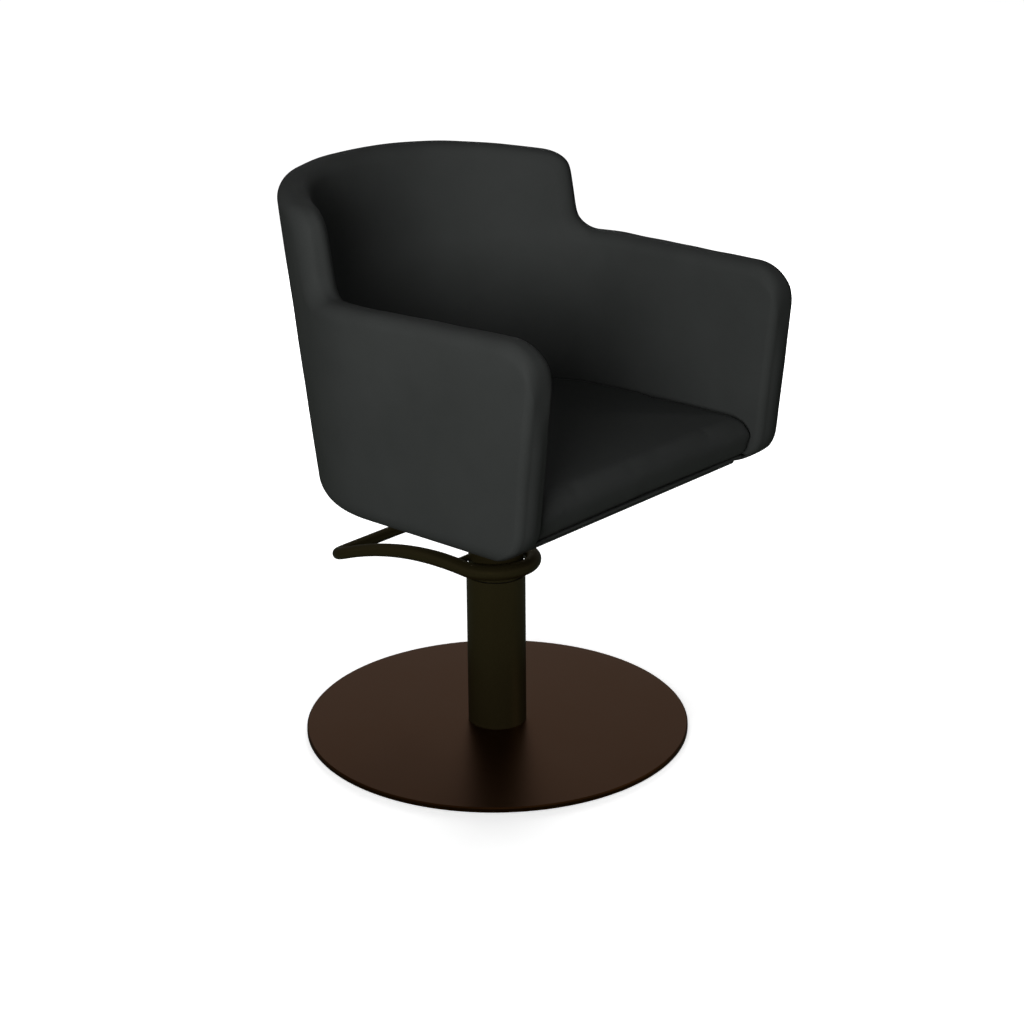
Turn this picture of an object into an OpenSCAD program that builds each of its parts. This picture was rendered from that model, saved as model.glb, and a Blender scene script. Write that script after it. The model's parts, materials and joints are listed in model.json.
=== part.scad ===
// Hairdressing chair: a padded tub seat on a foot-pumped lift, standing on a round base.
// The floor is z = 0 and the column's axis is the Z axis. The sitter faces -Y, and +X is to
// the sitter's left. The lift is drawn fully up.

/* [Overall] */
// Height of the back's top with the lift fully up
height_up = 920; // [880:5:980]
// How far the lift rises
lift_travel = 120; // [80:5:122]

/* [Base] */
// Diameter of the base plate
base_d = 630; // [500:10:760]
// Thickness of the base plate
base_t = 8; // [6:1:12]
// Width of the bevel round the plate's top edge
base_edge = 2; // [1:0.5:3]
// Diameter of a floor pad
pad_d = 36; // [20:2:50]
// Height of a floor pad and of the cap under the column
pad_t = 2; // [1.5:0.5:5]
// Number of floor pads
pad_count = 8; // [4:1:12]
// Distance from the plate's edge to a pad's centre
pad_edge = 32; // [30:2:60]
// Diameter of the rubber cap under the column
cap_d = 110; // [104:2:140]
// Diameter of a foot bolt's shank
foot_bolt_d = 8; // [6:1:10]
// Diameter of the circle the foot bolts stand on
foot_pcd = 66; // [60:2:70]
// Number of foot bolts
foot_bolt_count = 6; // [3:1:6]

/* [Column] */
// Outer diameter of the column
column_d = 96; // [94:1:104]
// Wall of the column tube
column_wall = 3; // [2.5:0.5:3]
// Height of the gap between the column and the pump head
column_top = 268; // [262:2:274]
// Height of the foot block inside the column
foot_h = 26; // [22:1:34]
// Diameter of the pump's turning stud
stud_d = 30; // [24:1:36]
// Length of the pump's turning stud
stud_l = 16; // [10:1:20]
// Thickness of the thrust washer
thrust_t = 3; // [2:0.5:5]
// Length of the upper bush
bush_l = 28; // [16:2:40]

/* [Pump] */
// Outer diameter of the pump's body tube
body_d = 86; // [84:0.5:86.5]
// Wall of the pump's body tube
body_wall = 2.5; // [2:0.5:3]
// Thickness of the pump's bottom cap
bottom_t = 12; // [8:1:16]
// Height of the pump head above the column
head_h = 47; // [44:1:49]
// Bevel round the head's top edge
head_edge = 3; // [1:0.5:4]
// How much smaller the head's radius is than the column's, so the lever can swing past it
head_step = 3; // [2.5:0.5:3.5]
// Outer diameter of the inner cylinder
cylinder_d = 48; // [47:0.5:48.5]
// Wall of the inner cylinder
cylinder_wall = 3; // [2.5:0.5:3]
// Diameter of the valve block
valve_d = 61; // [58:1:62]
// Height of the valve block
valve_h = 14; // [10:1:20]
// Diameter of a tie rod
tie_d = 6; // [4:0.5:6]
// Diameter of the circle that the tie rods stand on
tie_pcd = 70; // [69:0.5:71]
// Diameter of the plunger
plunger_d = 9; // [7:0.5:10]
// Distance of the plunger from the column's axis
plunger_y = 33; // [32.5:0.1:33.2]
// Outer diameter of the plunger's barrel
barrel_d = 13.4; // [12.6:0.2:13.4]
// Length of the plunger's barrel below the head
barrel_l = 64; // [50:2:80]
// Diameter of the oil pipe
pipe_d = 4; // [3:0.5:4.5]
// Distance of the oil pipe from the column's axis
pipe_y = 28; // [27.5:0.1:28.3]

/* [Lift rod] */
// Diameter of the lift rod
rod_d = 40; // [38:0.5:40.5]
// Length of the piston
piston_l = 26; // [20:1:32]
// Height of the rod's wiper seal
wiper_h = 8; // [5:1:10]
// Width of the rod's wiper seal
wiper_w = 6; // [4:0.5:7]
// Length of the rod's guide bush
guide_l = 46; // [36:1:48]

/* [Lever] */
// Diameter of the lever's bar round the column
lever_d = 25; // [22:1:26]
// Diameter of the lever's bar at its cross bar
lever_tip_d = 20; // [14:1:22]
// Gap between the lever's bar and the column
lever_gap = 1; // [1:0.5:6]
// Distance of the cross bar behind the column's axis
lever_reach = 286; // [240:2:320]
// Half width of the lever at its cross bar
lever_half = 100; // [76:1:120]
// Radius of the lever's rear corners
lever_corner = 40; // [20:1:50]
// Height of the lever's pivot
pivot_z = 290; // [286:1:292]
// How far the lever's arms rise above the pivot
lever_rise = 9; // [7:1:13]
// Distance of the arms' highest point behind the pivot
lever_crest_y = 88; // [80:2:110]
// How far the loop in front of the column rises above the pivot
lever_front_rise = 3; // [0:1:5]
// Diameter of a pivot pin
pin_d = 12; // [9:0.5:13]
// Diameter of the bridge bar that presses the plunger
bridge_d = 11; // [8:0.5:11]
// How far the lever turns down
press_angle = 16; // [10:1:16]

/* [Seat mounting] */
// Side of the seat flange
flange_w = 170; // [150:5:220]
// Thickness of the seat flange
flange_t = 6; // [5:1:8]
// Outer diameter of the flange's hub
hub_d = 66; // [58:1:80]
// Length of the hub below the flange
hub_drop = 4; // [2:1:4]
// Distance between two flange bolts
bolt_spacing = 126; // [110:2:140]
// Diameter of a flange bolt
bolt_d = 8; // [6:1:8]
// Width of a bolt's head across its flats
bolt_flats = 13; // [10:1:14]
// Height of a bolt's head
bolt_head_h = 4; // [3:0.5:4]
// Thickness of a washer
washer_t = 1.6; // [1:0.2:1.8]

/* [Tub] */
// Height of the tub from its underside to the middle of the back's top
tub_h = 476; // [440:2:520]
// Width of the tub at its underside
tub_w = 628; // [580:4:660]
// Distance from the column's axis to the arms' fronts, at the underside
arm_front = 320; // [290:2:330]
// Distance from the column's axis to the back's outer face, at the underside
back_y = 230; // [210:2:250]
// Where the straight arms end and the round back starts, behind the column's axis
arm_end_y = -10; // [-20:2:30]
// Squareness of the round back: 2 is an ellipse, more is squarer
back_squareness = 2; // [1.9:0.05:2.6]
// Thickness of the tub's wall
wall_t = 52; // [52:1:60]
// Height of the arms at their fronts, above the underside
arm_h = 332; // [300:2:350]
// Height of the arms at the wings, above the underside
arm_wing_h = 331; // [295:2:350]
// Where the wings start to rise, behind the column's axis
wing_y = 40; // [30:2:80]
// Steepness of a wing, in degrees
wing_tilt = 83; // [74:1:84]
// Radius of the hollow where a wing leaves its arm
wing_foot_r = 34; // [18:1:36]
// Radius of a wing's upper corner
wing_top_r = 31; // [24:1:60]
// How much lower the back's sides are than its middle
back_side_drop = 28; // [0:1:40]
// How far the back leans back for each mm of height
recline = 0.186; // [0.1:0.002:0.22]
// How far the arms' fronts lean forward for each mm of height
arm_rake = 0.1; // [0:0.002:0.14]
// How far the arms' fronts lean in for each mm of height
arm_lean = 0.004; // [-0.03:0.002:0.06]
// How far the wings lean in for each mm of height: a wing that leans out has less than 0
side_lean = -0.052; // [-0.08:0.002:0.04]
// Radius of the wall's top edges
rim_r = 22; // [20:1:24]
// Radius of the arms' upright front edges
arm_edge_r = 12; // [8:1:20]
// Radius of an arm's upper front corner, seen from the side
arm_top_r = 62; // [40:1:80]
// How far the fronts turn back under the tub
toe_d = 52; // [10:1:60]
// Height over which the fronts turn back
toe_h = 50; // [44:1:90]
// Radius of the tub's bottom edge
bottom_r = 32; // [28:1:40]
// Width of the cover that wraps under the tub
wrap_w = 49; // [46:1:50]
// Thickness of the cover
cover_t = 1.5; // [1:0.1:1.8]
// Thickness of the foam on the shell's sides and top
foam_t = 16; // [15:0.5:16]
// Depth of the foam under the seat board's edge
foam_under = 7; // [6.5:0.5:8]

/* [Seat] */
// Thickness of the seat board
board_t = 15; // [14:1:18]
// Height of the seat cushion's side edge above the tub's underside
seat_edge_h = 82; // [76:1:110]
// Rise of the cushion's middle above its edge
seat_crown = 14; // [4:1:24]
// Radius of the cushion's front roll
front_roll = 25; // [20:1:34]
// Radius of the cushion's edge along the walls
side_roll = 10; // [10:1:16]
// Radius of the cushion's lower edge
lower_roll = 9; // [6:1:10]
// Gap between the cushion and the walls
pad_gap = 3; // [2.5:0.5:5]
// How far the cushion's front is drawn in between its corners
front_draw = 4; // [2:0.5:6]
// How far the cushion's sides are drawn in between their ends
side_draw = 1.5; // [1:0.5:3]
// Width of the cushion cover that wraps under it
pad_wrap = 40; // [30:1:60]
// How far the cushion's front stands behind the arms' fronts
seat_back_set = 6; // [5:1:20]
// How far the cushion reaches in front of the seat board
apron_d = 51; // [46:1:53]
// Thickness of the closing panel
panel_t = 3; // [2:0.5:4]
// Diameter of a panel screw's head
screw_head_d = 8; // [6:0.5:10]

/* [Hidden] */
$fn = 64;

// Overrun of a cut past the face it opens
cut = 1;
// Gap between two pieces that lie face to face
seat_gap = 0.3;
// Radial clearance of a turning, sliding or threaded fit
run_gap = 0.05;
// Clearance of a bolt in its hole
bolt_gap = 0.5;
// Gap between the column's top and the pump head
head_gap = 0.8;

// Colours of the finishes
base_colour = "#362d20";
steel_colour = "#8b8d8e";
bright_colour = "#b9bbbc";
rubber_colour = "#1b1b1b";
bronze_colour = "#a5804a";
wood_colour = "#c8a878";
foam_colour = "#d8cfa8";
cover_colour = "#343635";

// Shares of a bolt's diameter: a round head, a hexagon head and a washer
round_head_share = 1.7;
hex_head_share = 1.6;
washer_share = 2;

// Heights and radii of the base and the pump
plate_z = pad_t;
plate_top = plate_z + base_t;
foot_top = plate_top + foot_h;
thrust_top = foot_top + thrust_t;
bottom_top = thrust_top + bottom_t;
valve_top = bottom_top + valve_h;
column_r = column_d / 2;
tube_r = column_r - column_wall;
body_r = body_d / 2;
body_in_r = body_r - body_wall;
cylinder_r = cylinder_d / 2;
bore_r = cylinder_r - cylinder_wall;
stud_r = stud_d / 2;
head_r = column_r - head_step;
head_z = column_top + head_gap;
head_top = head_z + head_h;
// Length of the head's skirt inside the body tube
skirt_l = 16;
skirt_z = head_z - skirt_l;
rod_r = rod_d / 2;
pin_r = pin_d / 2;
plunger_r = plunger_d / 2;
barrel_r = barrel_d / 2;
bridge_r = bridge_d / 2;
pipe_r = pipe_d / 2;

// Heights of the lift's parts
tub_z = height_up - tub_h;
board_z = tub_z + foam_under + seat_gap;
board_top = board_z + board_t;
flange_z = board_z - flange_t;
hub_z = flange_z - hub_drop;
// Height of the piston above the valve block with the lift fully down
piston_rest = 6;
piston_z = valve_top + piston_rest + lift_travel;
piston_top = piston_z + piston_l;

module ring(z, h, r_in, r_out) {
    translate([0, 0, z])
        difference() {
            cylinder(h = h, r = r_out);
            translate([0, 0, -cut])
                cylinder(h = h + 2 * cut, r = r_in);
        }
}

module on_circle(count, pcd, first = 0) {
    for (i = [0:count - 1])
        rotate([0, 0, first + i * 360 / count])
            translate([pcd / 2, 0, 0])
                children();
}

module hex_head(flats, h) {
    cylinder(h = h, d = flats / cos(30), $fn = 6);
}

// Base

// Angle of the first foot bolt
foot_first = 30;
// Height of a foot bolt's head
foot_head_h = 5;
// Diameter of a foot bolt's head
foot_head_d = round_head_share * foot_bolt_d;
// Length of a foot bolt in the foot block
foot_bolt_l = 16;

module floor_pads() {
    color(rubber_colour)
        on_circle(pad_count, base_d - 2 * pad_edge)
            cylinder(h = pad_t, d = pad_d);
}

module column_cap() {
    color(rubber_colour)
        cylinder(h = pad_t, d = cap_d);
}

module base_plate() {
    color(base_colour)
        difference() {
            union() {
                translate([0, 0, plate_z])
                    cylinder(h = base_t - base_edge, d = base_d);
                translate([0, 0, plate_top - base_edge])
                    cylinder(h = base_edge, d1 = base_d, d2 = base_d - 2 * base_edge);
            }
            on_circle(foot_bolt_count, foot_pcd, foot_first)
                translate([0, 0, plate_z - cut]) {
                    cylinder(h = base_t + 2 * cut, d = foot_bolt_d + bolt_gap);
                    cylinder(h = foot_head_h + cut, d = foot_head_d + bolt_gap);
                }
        }
}

module foot_bolts() {
    color(steel_colour)
        on_circle(foot_bolt_count, foot_pcd, foot_first)
            translate([0, 0, plate_z]) {
                cylinder(h = foot_head_h, d = foot_head_d);
                cylinder(h = base_t + foot_bolt_l, d = foot_bolt_d);
            }
}

module foot_block() {
    color(steel_colour)
        difference() {
            translate([0, 0, plate_top])
                cylinder(h = foot_h, r = tube_r - run_gap);
            translate([0, 0, foot_top - stud_l - seat_gap])
                cylinder(h = stud_l + seat_gap + cut, r = stud_r + run_gap);
            on_circle(foot_bolt_count, foot_pcd, foot_first)
                translate([0, 0, plate_top - cut])
                    cylinder(h = foot_bolt_l + 2 * cut, r = foot_bolt_d / 2 + run_gap);
        }
}

module column_tube() {
    color(base_colour)
        ring(plate_top, column_top - plate_top, tube_r, column_r);
}

module thrust_washer() {
    color(bronze_colour)
        ring(foot_top, thrust_t, stud_r + bolt_gap, body_in_r);
}

module upper_bush() {
    color(rubber_colour)
        ring(column_top - bush_l, bush_l, body_r + run_gap, tube_r - run_gap);
}

// Pump

// Angle of the first tie rod
tie_first = 45;
// Number of tie rods
tie_count = 4;
// Height of a tie rod's head
tie_head_h = 5;

module pump_bottom() {
    color(steel_colour)
        difference() {
            union() {
                translate([0, 0, thrust_top])
                    cylinder(h = bottom_t, r = body_r);
                translate([0, 0, thrust_top - stud_l])
                    cylinder(h = stud_l + cut, r = stud_r);
            }
            on_circle(tie_count, tie_pcd, tie_first)
                translate([0, 0, thrust_top - cut]) {
                    cylinder(h = bottom_t + 2 * cut, d = tie_d + bolt_gap);
                    cylinder(h = tie_head_h + cut + seat_gap, d = washer_share * tie_d);
                }
        }
}

module pump_body() {
    color(steel_colour)
        ring(bottom_top, head_z - bottom_top, body_in_r, body_r);
}

module tie_rods() {
    color(steel_colour)
        on_circle(tie_count, tie_pcd, tie_first)
            translate([0, 0, thrust_top + seat_gap]) {
                hex_head(hex_head_share * tie_d, tie_head_h);
                cylinder(h = head_z - seat_gap - thrust_top - cut, d = tie_d);
            }
}

// Share of the valve block's height at which the oil's passage lies
passage_share = 0.4;
passage_z = bottom_top + passage_share * valve_h;

module valve_block() {
    color(steel_colour)
        difference() {
            translate([0, 0, bottom_top])
                cylinder(h = valve_h, d = valve_d);
            translate([0, 0, passage_z])
                cylinder(h = valve_h, r = bore_r / 2);
            translate([0, pipe_y, passage_z])
                cylinder(h = valve_h, r = pipe_r + run_gap);
            translate([0, pipe_y, passage_z + pipe_r])
                rotate([90, 0, 0])
                    cylinder(h = pipe_y, r = pipe_r / 2);
        }
}

module inner_cylinder() {
    color(steel_colour)
        ring(valve_top, skirt_z - valve_top, bore_r, cylinder_r);
}

// How far the lever's arms lie above the floor at a distance y behind the column's axis
loop_r = column_r + lever_gap + lever_d / 2;
function arm_z(y) =
    y >= 0
    ? pivot_z + lever_rise * (1 - pow(1 - y / lever_crest_y, 2))
    : pivot_z + lever_front_rise * (1 - pow(1 + y / loop_r, 2));

// The bridge bar lies on the plunger's cap
bridge_z = arm_z(plunger_y);
plunger_top = bridge_z - bridge_r - seat_gap;
plunger_travel = plunger_y * sin(press_angle);
// Thickness of the plunger's cap
plunger_cap_t = 3;
// How far the plunger's cap reaches past the plunger
plunger_cap_lip = 1;
// Space under the plunger's cap with the lever pressed down
plunger_space = 1.6;
window_z = plunger_top - plunger_travel - plunger_cap_t - plunger_space;
// Wire, turns and lowest place of the plunger's return spring
spring_wire = 0.8;
spring_turns = 5;
spring_well = 17;
spring_r = plunger_r + spring_wire;
spring_z = window_z - spring_well;
spring_top = plunger_top - plunger_cap_t - seat_gap;
spring_steps = 10;
spring_sides = 5;
barrel_z = skirt_z - barrel_l;
// Depth of the barrel's floor, and the oil space above it
barrel_floor = 4;
plunger_l = plunger_top - plunger_travel - barrel_z - 2 * barrel_floor;

module oil_pipe() {
    color(bronze_colour)
        translate([0, pipe_y, 0])
            ring(passage_z + seat_gap, barrel_z - passage_z - 2 * seat_gap, pipe_r / 2, pipe_r);
}

module plunger_barrel() {
    color(steel_colour)
        translate([0, plunger_y, 0])
            difference() {
                translate([0, 0, barrel_z])
                    cylinder(h = spring_z - barrel_z, r = barrel_r);
                translate([0, 0, barrel_z + barrel_floor])
                    cylinder(h = spring_z - barrel_z, r = plunger_r + run_gap);
            }
}

module plunger() {
    color(bright_colour)
        translate([0, plunger_y, 0]) {
            translate([0, 0, plunger_top - plunger_l])
                cylinder(h = plunger_l, r = plunger_r);
            translate([0, 0, plunger_top - plunger_cap_t])
                cylinder(h = plunger_cap_t, r = plunger_r + plunger_cap_lip);
        }
}

// Points of a round section, with its centre, two side directions and radius
function section(p, side, up, r, sides) =
    [for (k = [0:sides - 1])
        p + r * cos(360 * k / sides) * side + r * sin(360 * k / sides) * up];

// Faces between rows of points that follow one another
function quads(first, rows, cols, closed) =
    [for (i = [0:rows - 2])
        for (j = [0:cols - (closed ? 1 : 2)])
            let (
                a = first + i * cols + j,
                b = first + i * cols + (j + 1) % cols,
                c = a + cols,
                d = b + cols
            )
            each [[a, c, d], [a, d, b]]];

// Faces between two rows of equal length that start at first and at second
function strip(first, second, cols) =
    [for (j = [0:cols - 1])
        let (k = (j + 1) % cols)
        each [[first + j, second + j, second + k], [first + j, second + k, first + k]]];

function flipped(faces) = [for (f = faces) [f[0], f[2], f[1]]];

function fan(first, count) =
    [for (k = [1:count - 2]) [first, first + k, first + k + 1]];

function hub_fan(first, count, centre) =
    [for (k = [0:count - 1]) [first + k, first + (k + 1) % count, centre]];

module plunger_spring() {
    steps = spring_turns * spring_steps;
    low = spring_z + spring_wire / 2 + seat_gap;
    rise = spring_top - spring_wire / 2 - low;
    rings = [for (i = [0:steps])
        let (
            a = 360 * i / spring_steps,
            out = [cos(a), sin(a), 0],
            at = [0, plunger_y, low + rise * i / steps] + spring_r * out
        )
        section(at, out, [0, 0, 1], spring_wire / 2, spring_sides)];
    color(bright_colour)
        polyhedron([for (r = rings) each r],
            concat(flipped(quads(0, steps + 1, spring_sides, true)),
                flipped(fan(0, spring_sides)),
                fan(steps * spring_sides, spring_sides)));
}

// The window behind the head, where the bridge bar presses the plunger
window_y = plunger_y - bridge_r - seat_gap;
// Inner and outer end of a pivot pin, from the column's axis
pin_seat = 31;
pin_end = loop_r + lever_d / 4;

module pump_head() {
    color(base_colour)
        difference() {
            union() {
                translate([0, 0, head_z])
                    cylinder(h = head_h - head_edge, r = head_r);
                translate([0, 0, head_top - head_edge])
                    cylinder(h = head_edge, r1 = head_r, r2 = head_r - head_edge);
                translate([0, 0, skirt_z])
                    cylinder(h = skirt_l + cut, r = body_in_r - run_gap);
            }
            translate([0, 0, skirt_z - cut]) {
                cylinder(h = head_h + skirt_l + 2 * cut, r = rod_r + bolt_gap);
                cylinder(h = guide_l + cut + seat_gap, r = cylinder_r + run_gap);
            }
            translate([0, 0, head_top - wiper_h])
                cylinder(h = wiper_h + cut, r = rod_r + wiper_w + run_gap);
            translate([-column_r - cut, window_y, window_z])
                cube([column_d + 2 * cut, column_r, head_h]);
            translate([0, plunger_y, skirt_z - cut])
                cylinder(h = window_z - skirt_z + 2 * cut, r = barrel_r + run_gap);
            on_circle(tie_count, tie_pcd, tie_first)
                translate([0, 0, skirt_z - cut])
                    cylinder(h = skirt_l + 2 * cut, r = tie_d / 2 + run_gap);
            for (side = [-1, 1])
                translate([side * pin_seat, 0, pivot_z])
                    rotate([0, side * 90, 0])
                        cylinder(h = column_r, r = pin_r + run_gap);
        }
}

module guide_bush() {
    color(bronze_colour)
        ring(skirt_z + seat_gap, guide_l - seat_gap, rod_r + run_gap, cylinder_r);
}

module wiper_seal() {
    color(rubber_colour)
        ring(head_top - wiper_h + seat_gap, wiper_h - seat_gap, rod_r + run_gap, rod_r + wiper_w);
}

module pivot_pins() {
    color(steel_colour)
        for (side = [-1, 1])
            translate([side * (pin_seat + seat_gap), 0, pivot_z])
                rotate([0, side * 90, 0])
                    cylinder(h = pin_end - pin_seat - seat_gap, r = pin_r);
}

// Lever

// Steps of the centre line: the loop's half, an arm, a rear corner and half the cross bar
loop_steps = 8;
arm_steps = 12;
corner_steps = 6;
cross_steps = 2;
lever_sides = 10;
// Shares of the lever's reach where the bar starts to taper, and where the taper ends
taper_from_share = 0.2;
taper_to_share = 0.8;
corner_y = lever_reach - lever_corner;

function smooth(t) = let (u = min(max(t, 0), 1)) u * u * (3 - 2 * u);

function arm_x(y) = loop_r + (lever_half - loop_r) * min(y / corner_y, 1);

function lever_half_line() = concat(
    [for (i = [0:loop_steps - 1])
        let (a = 90 * i / loop_steps)
        [-loop_r * sin(a), -loop_r * cos(a)]],
    [for (i = [0:arm_steps - 1])
        let (y = corner_y * i / arm_steps)
        [-arm_x(y), y]],
    [for (i = [0:corner_steps])
        let (a = 90 * i / corner_steps)
        [-lever_half + lever_corner * (1 - cos(a)), corner_y + lever_corner * sin(a)]],
    [for (i = [1:cross_steps])
        [-(lever_half - lever_corner) * (1 - i / cross_steps), lever_reach]]
);

function lever_line() =
    let (
        half = lever_half_line(),
        last = len(half) - 1,
        back = [for (i = [last - 1:-1:1]) [-half[i][0], half[i][1]]]
    )
    [for (p = concat(half, back)) [p[0], p[1], arm_z(p[1])]];

function bar_r(y) =
    let (t = (y / lever_reach - taper_from_share) / (taper_to_share - taper_from_share))
    (lever_d + (lever_tip_d - lever_d) * min(max(t, 0), 1)) / 2;

function unit(v) = v / norm(v);

module foot_lever() {
    line = lever_line();
    count = len(line);
    rings = [for (i = [0:count - 1])
        let (
            ahead = line[(i + 1) % count],
            behind = line[(i + count - 1) % count],
            along = unit(ahead - behind),
            side = unit(cross(along, [0, 0, 1])),
            up = cross(side, along)
        )
        section(line[i], side, up, bar_r(line[i][1]), lever_sides)];
    last = (count - 1) * lever_sides;
    color(base_colour)
        difference() {
            polyhedron([for (r = rings) each r],
                concat(quads(0, count, lever_sides, true), strip(last, 0, lever_sides)));
            for (side = [-1, 1])
                translate([side * column_r, 0, pivot_z])
                    rotate([0, side * 90, 0])
                        cylinder(h = pin_end + seat_gap - column_r, r = pin_r + run_gap);
        }
}

module lever_bridge() {
    reach = arm_x(plunger_y) - bar_r(plunger_y) - seat_gap;
    color(base_colour)
        translate([-reach, plunger_y, bridge_z])
            rotate([0, 90, 0])
                cylinder(h = 2 * reach, r = bridge_r);
}

// Lift

// The rod's top is a taper in the flange's hub, drawn in by a bolt
taper_step = 1;
taper_draw = 2;
taper_r = rod_r - taper_step;
taper_top_r = taper_r - taper_draw;
rod_bolt_d = 10;
rod_bolt_l = 24;
rod_bolt_head_h = 6;
rod_washer_t = 2;
taper_top = board_top - rod_bolt_head_h - rod_washer_t;

module lift_rod() {
    color(bright_colour)
        difference() {
            union() {
                translate([0, 0, piston_top])
                    cylinder(h = hub_z - piston_top, r = rod_r);
                translate([0, 0, hub_z])
                    cylinder(h = taper_top - hub_z, r1 = taper_r, r2 = taper_top_r);
            }
            translate([0, 0, taper_top - rod_bolt_l])
                cylinder(h = rod_bolt_l + cut, r = rod_bolt_d / 2 + run_gap);
        }
}

// The piston's seal lies in a groove
seal_w = 5;
seal_depth = 3;
seal_z = piston_z + (piston_l - seal_w) / 2;

module lift_piston() {
    color(steel_colour)
        difference() {
            translate([0, 0, piston_z])
                cylinder(h = piston_l, r = bore_r - run_gap);
            ring(seal_z, seal_w, bore_r - seal_depth, bore_r + cut);
        }
}

module piston_seal() {
    color(rubber_colour)
        ring(seal_z, seal_w, bore_r - seal_depth + run_gap, bore_r - run_gap);
}

module rod_bolt() {
    color(steel_colour) {
        translate([0, 0, taper_top - rod_bolt_l + seat_gap])
            cylinder(h = rod_bolt_l, d = rod_bolt_d);
        translate([0, 0, taper_top]) {
            cylinder(h = rod_washer_t, r = taper_top_r - run_gap);
            hex_head(hex_head_share * rod_bolt_d, rod_washer_t + rod_bolt_head_h);
        }
    }
}

// Radius of the flange's corners
flange_r = 14;

module rounded_plate(w, r, h) {
    linear_extrude(h) {
        square([w, w - 2 * r], center = true);
        square([w - 2 * r, w], center = true);
        for (x = [-1, 1], y = [-1, 1])
            translate([x * (w / 2 - r), y * (w / 2 - r)])
                circle(r = r);
    }
}

module at_bolts(z) {
    for (x = [-1, 1], y = [-1, 1])
        translate([x * bolt_spacing / 2, y * bolt_spacing / 2, z])
            children();
}

module seat_flange() {
    color(steel_colour)
        difference() {
            union() {
                translate([0, 0, flange_z])
                    rounded_plate(flange_w, flange_r, flange_t);
                translate([0, 0, hub_z])
                    cylinder(h = board_top - hub_z, d = hub_d);
            }
            translate([0, 0, hub_z])
                cylinder(h = taper_top - hub_z, r1 = taper_r + run_gap, r2 = taper_top_r + run_gap);
            translate([0, 0, hub_z - cut])
                cylinder(h = cut, r = taper_r + run_gap);
            translate([0, 0, taper_top])
                cylinder(h = board_top - taper_top + cut, r = taper_top_r + run_gap);
            at_bolts(flange_z - cut)
                cylinder(h = flange_t + 2 * cut, d = bolt_d + bolt_gap);
        }
}

module flange_washers() {
    color(steel_colour)
        at_bolts(flange_z - washer_t)
            difference() {
                cylinder(h = washer_t, d = washer_share * bolt_d);
                translate([0, 0, -cut])
                    cylinder(h = washer_t + 2 * cut, d = bolt_d + bolt_gap);
            }
}

module flange_bolts() {
    color(steel_colour) {
        at_bolts(flange_z - washer_t - bolt_head_h)
            hex_head(bolt_flats, bolt_head_h);
        at_bolts(flange_z - washer_t)
            cylinder(h = board_top - seat_gap - flange_z + washer_t, d = bolt_d);
    }
}

// A tee nut: its barrel in the board, and its flange flush with the board's top
tee_wall = 1.5;
tee_barrel_r = bolt_d / 2 + tee_wall;
tee_barrel_l = 11;
tee_flange_share = 3;
tee_flange_d = tee_flange_share * bolt_d;

module tee_nuts() {
    color(steel_colour)
        at_bolts(0)
            difference() {
                union() {
                    translate([0, 0, board_top - tee_barrel_l])
                        cylinder(h = tee_barrel_l, r = tee_barrel_r);
                    translate([0, 0, board_top - tee_wall])
                        cylinder(h = tee_wall, d = tee_flange_d);
                }
                translate([0, 0, board_z])
                    cylinder(h = board_t + cut, r = bolt_d / 2 + run_gap);
            }
}

// Tub

// The plan is a row of stations from the near arm's front to the middle of the back, and the
// mirror of it. A station holds its place, its inward direction, and how much further its
// section is drawn in, which rounds the arms' upright front edges.
half_w = tub_w / 2;
back_depth = back_y - arm_end_y;

function back_angle(y) = asin(pow((y - arm_end_y) / back_depth, back_squareness / 2));

function arm_station(y, more) = [-half_w, y, 1, 0, more];

function back_station(a) =
    let (
        power = 2 / back_squareness,
        x = half_w * pow(cos(a), power),
        y = back_depth * pow(sin(a), power),
        nx = pow(x / half_w, back_squareness - 1) / half_w,
        ny = pow(y / back_depth, back_squareness - 1) / back_depth,
        size = norm([nx, ny])
    )
    [-x, arm_end_y + y, nx / size, -ny / size, 0];

// A wing's profile, seen from the side: how far behind its foot and how high each point lies
wing_drop_share = 0.9;
wing_rise = tub_h - wing_drop_share * back_side_drop - arm_wing_h;
wing_turns = wing_foot_r + wing_top_r;
wing_slant = (wing_rise - wing_turns * (1 - cos(wing_tilt))) / sin(wing_tilt);
wing_run = wing_turns * sin(wing_tilt) + wing_slant * cos(wing_tilt);
foot_steps = 2;
corner_turns = 3;
wing_profile = concat(
    [for (i = [0:foot_steps])
        let (a = wing_tilt * i / foot_steps)
        [wing_foot_r * sin(a), wing_foot_r * (1 - cos(a))]],
    [for (i = [corner_turns:-1:0])
        let (a = wing_tilt * i / corner_turns)
        [wing_run - wing_top_r * sin(a), wing_rise - wing_top_r * (1 - cos(a))]]
);
wing_shares = [for (p = wing_profile) [wing_y + p[0], p[1] / wing_rise]];
wing_from = back_angle(wing_y);
// Where the roll of a wing's front ends
wing_end = back_angle(wing_y + wing_run + rim_r);
back_steps = 5;
edge_steps = 2;
// Smallest radius of a layer's upright edge and of its bends
least_r = 1;

function arm_rounding(d) =
    let (r = max(arm_edge_r - d, least_r))
    [for (i = [edge_steps:-1:0])
        let (a = 90 * i / edge_steps)
        arm_station(d - arm_front + r * (1 - sin(a)), r * (1 - cos(a)))];

// Shares of an arm's upper corner at which it has sections
arm_top_shares = [0.39, 0.65, 1];
arm_stations = concat(
    [for (t = arm_top_shares) arm_station(t * arm_top_r - arm_front, 0)],
    [
        arm_station((arm_end_y - arm_front) / 2, 0),
        arm_station(arm_end_y, 0),
        back_station(wing_from / 2)
    ]
);

back_stations = concat(
    [for (p = wing_shares) back_station(back_angle(p[0]))],
    [for (i = [0:back_steps]) back_station(wing_end + (90 - wing_end) * i / back_steps)]
);

function half_stations(d) = concat(arm_rounding(d), arm_stations, back_stations);

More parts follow.
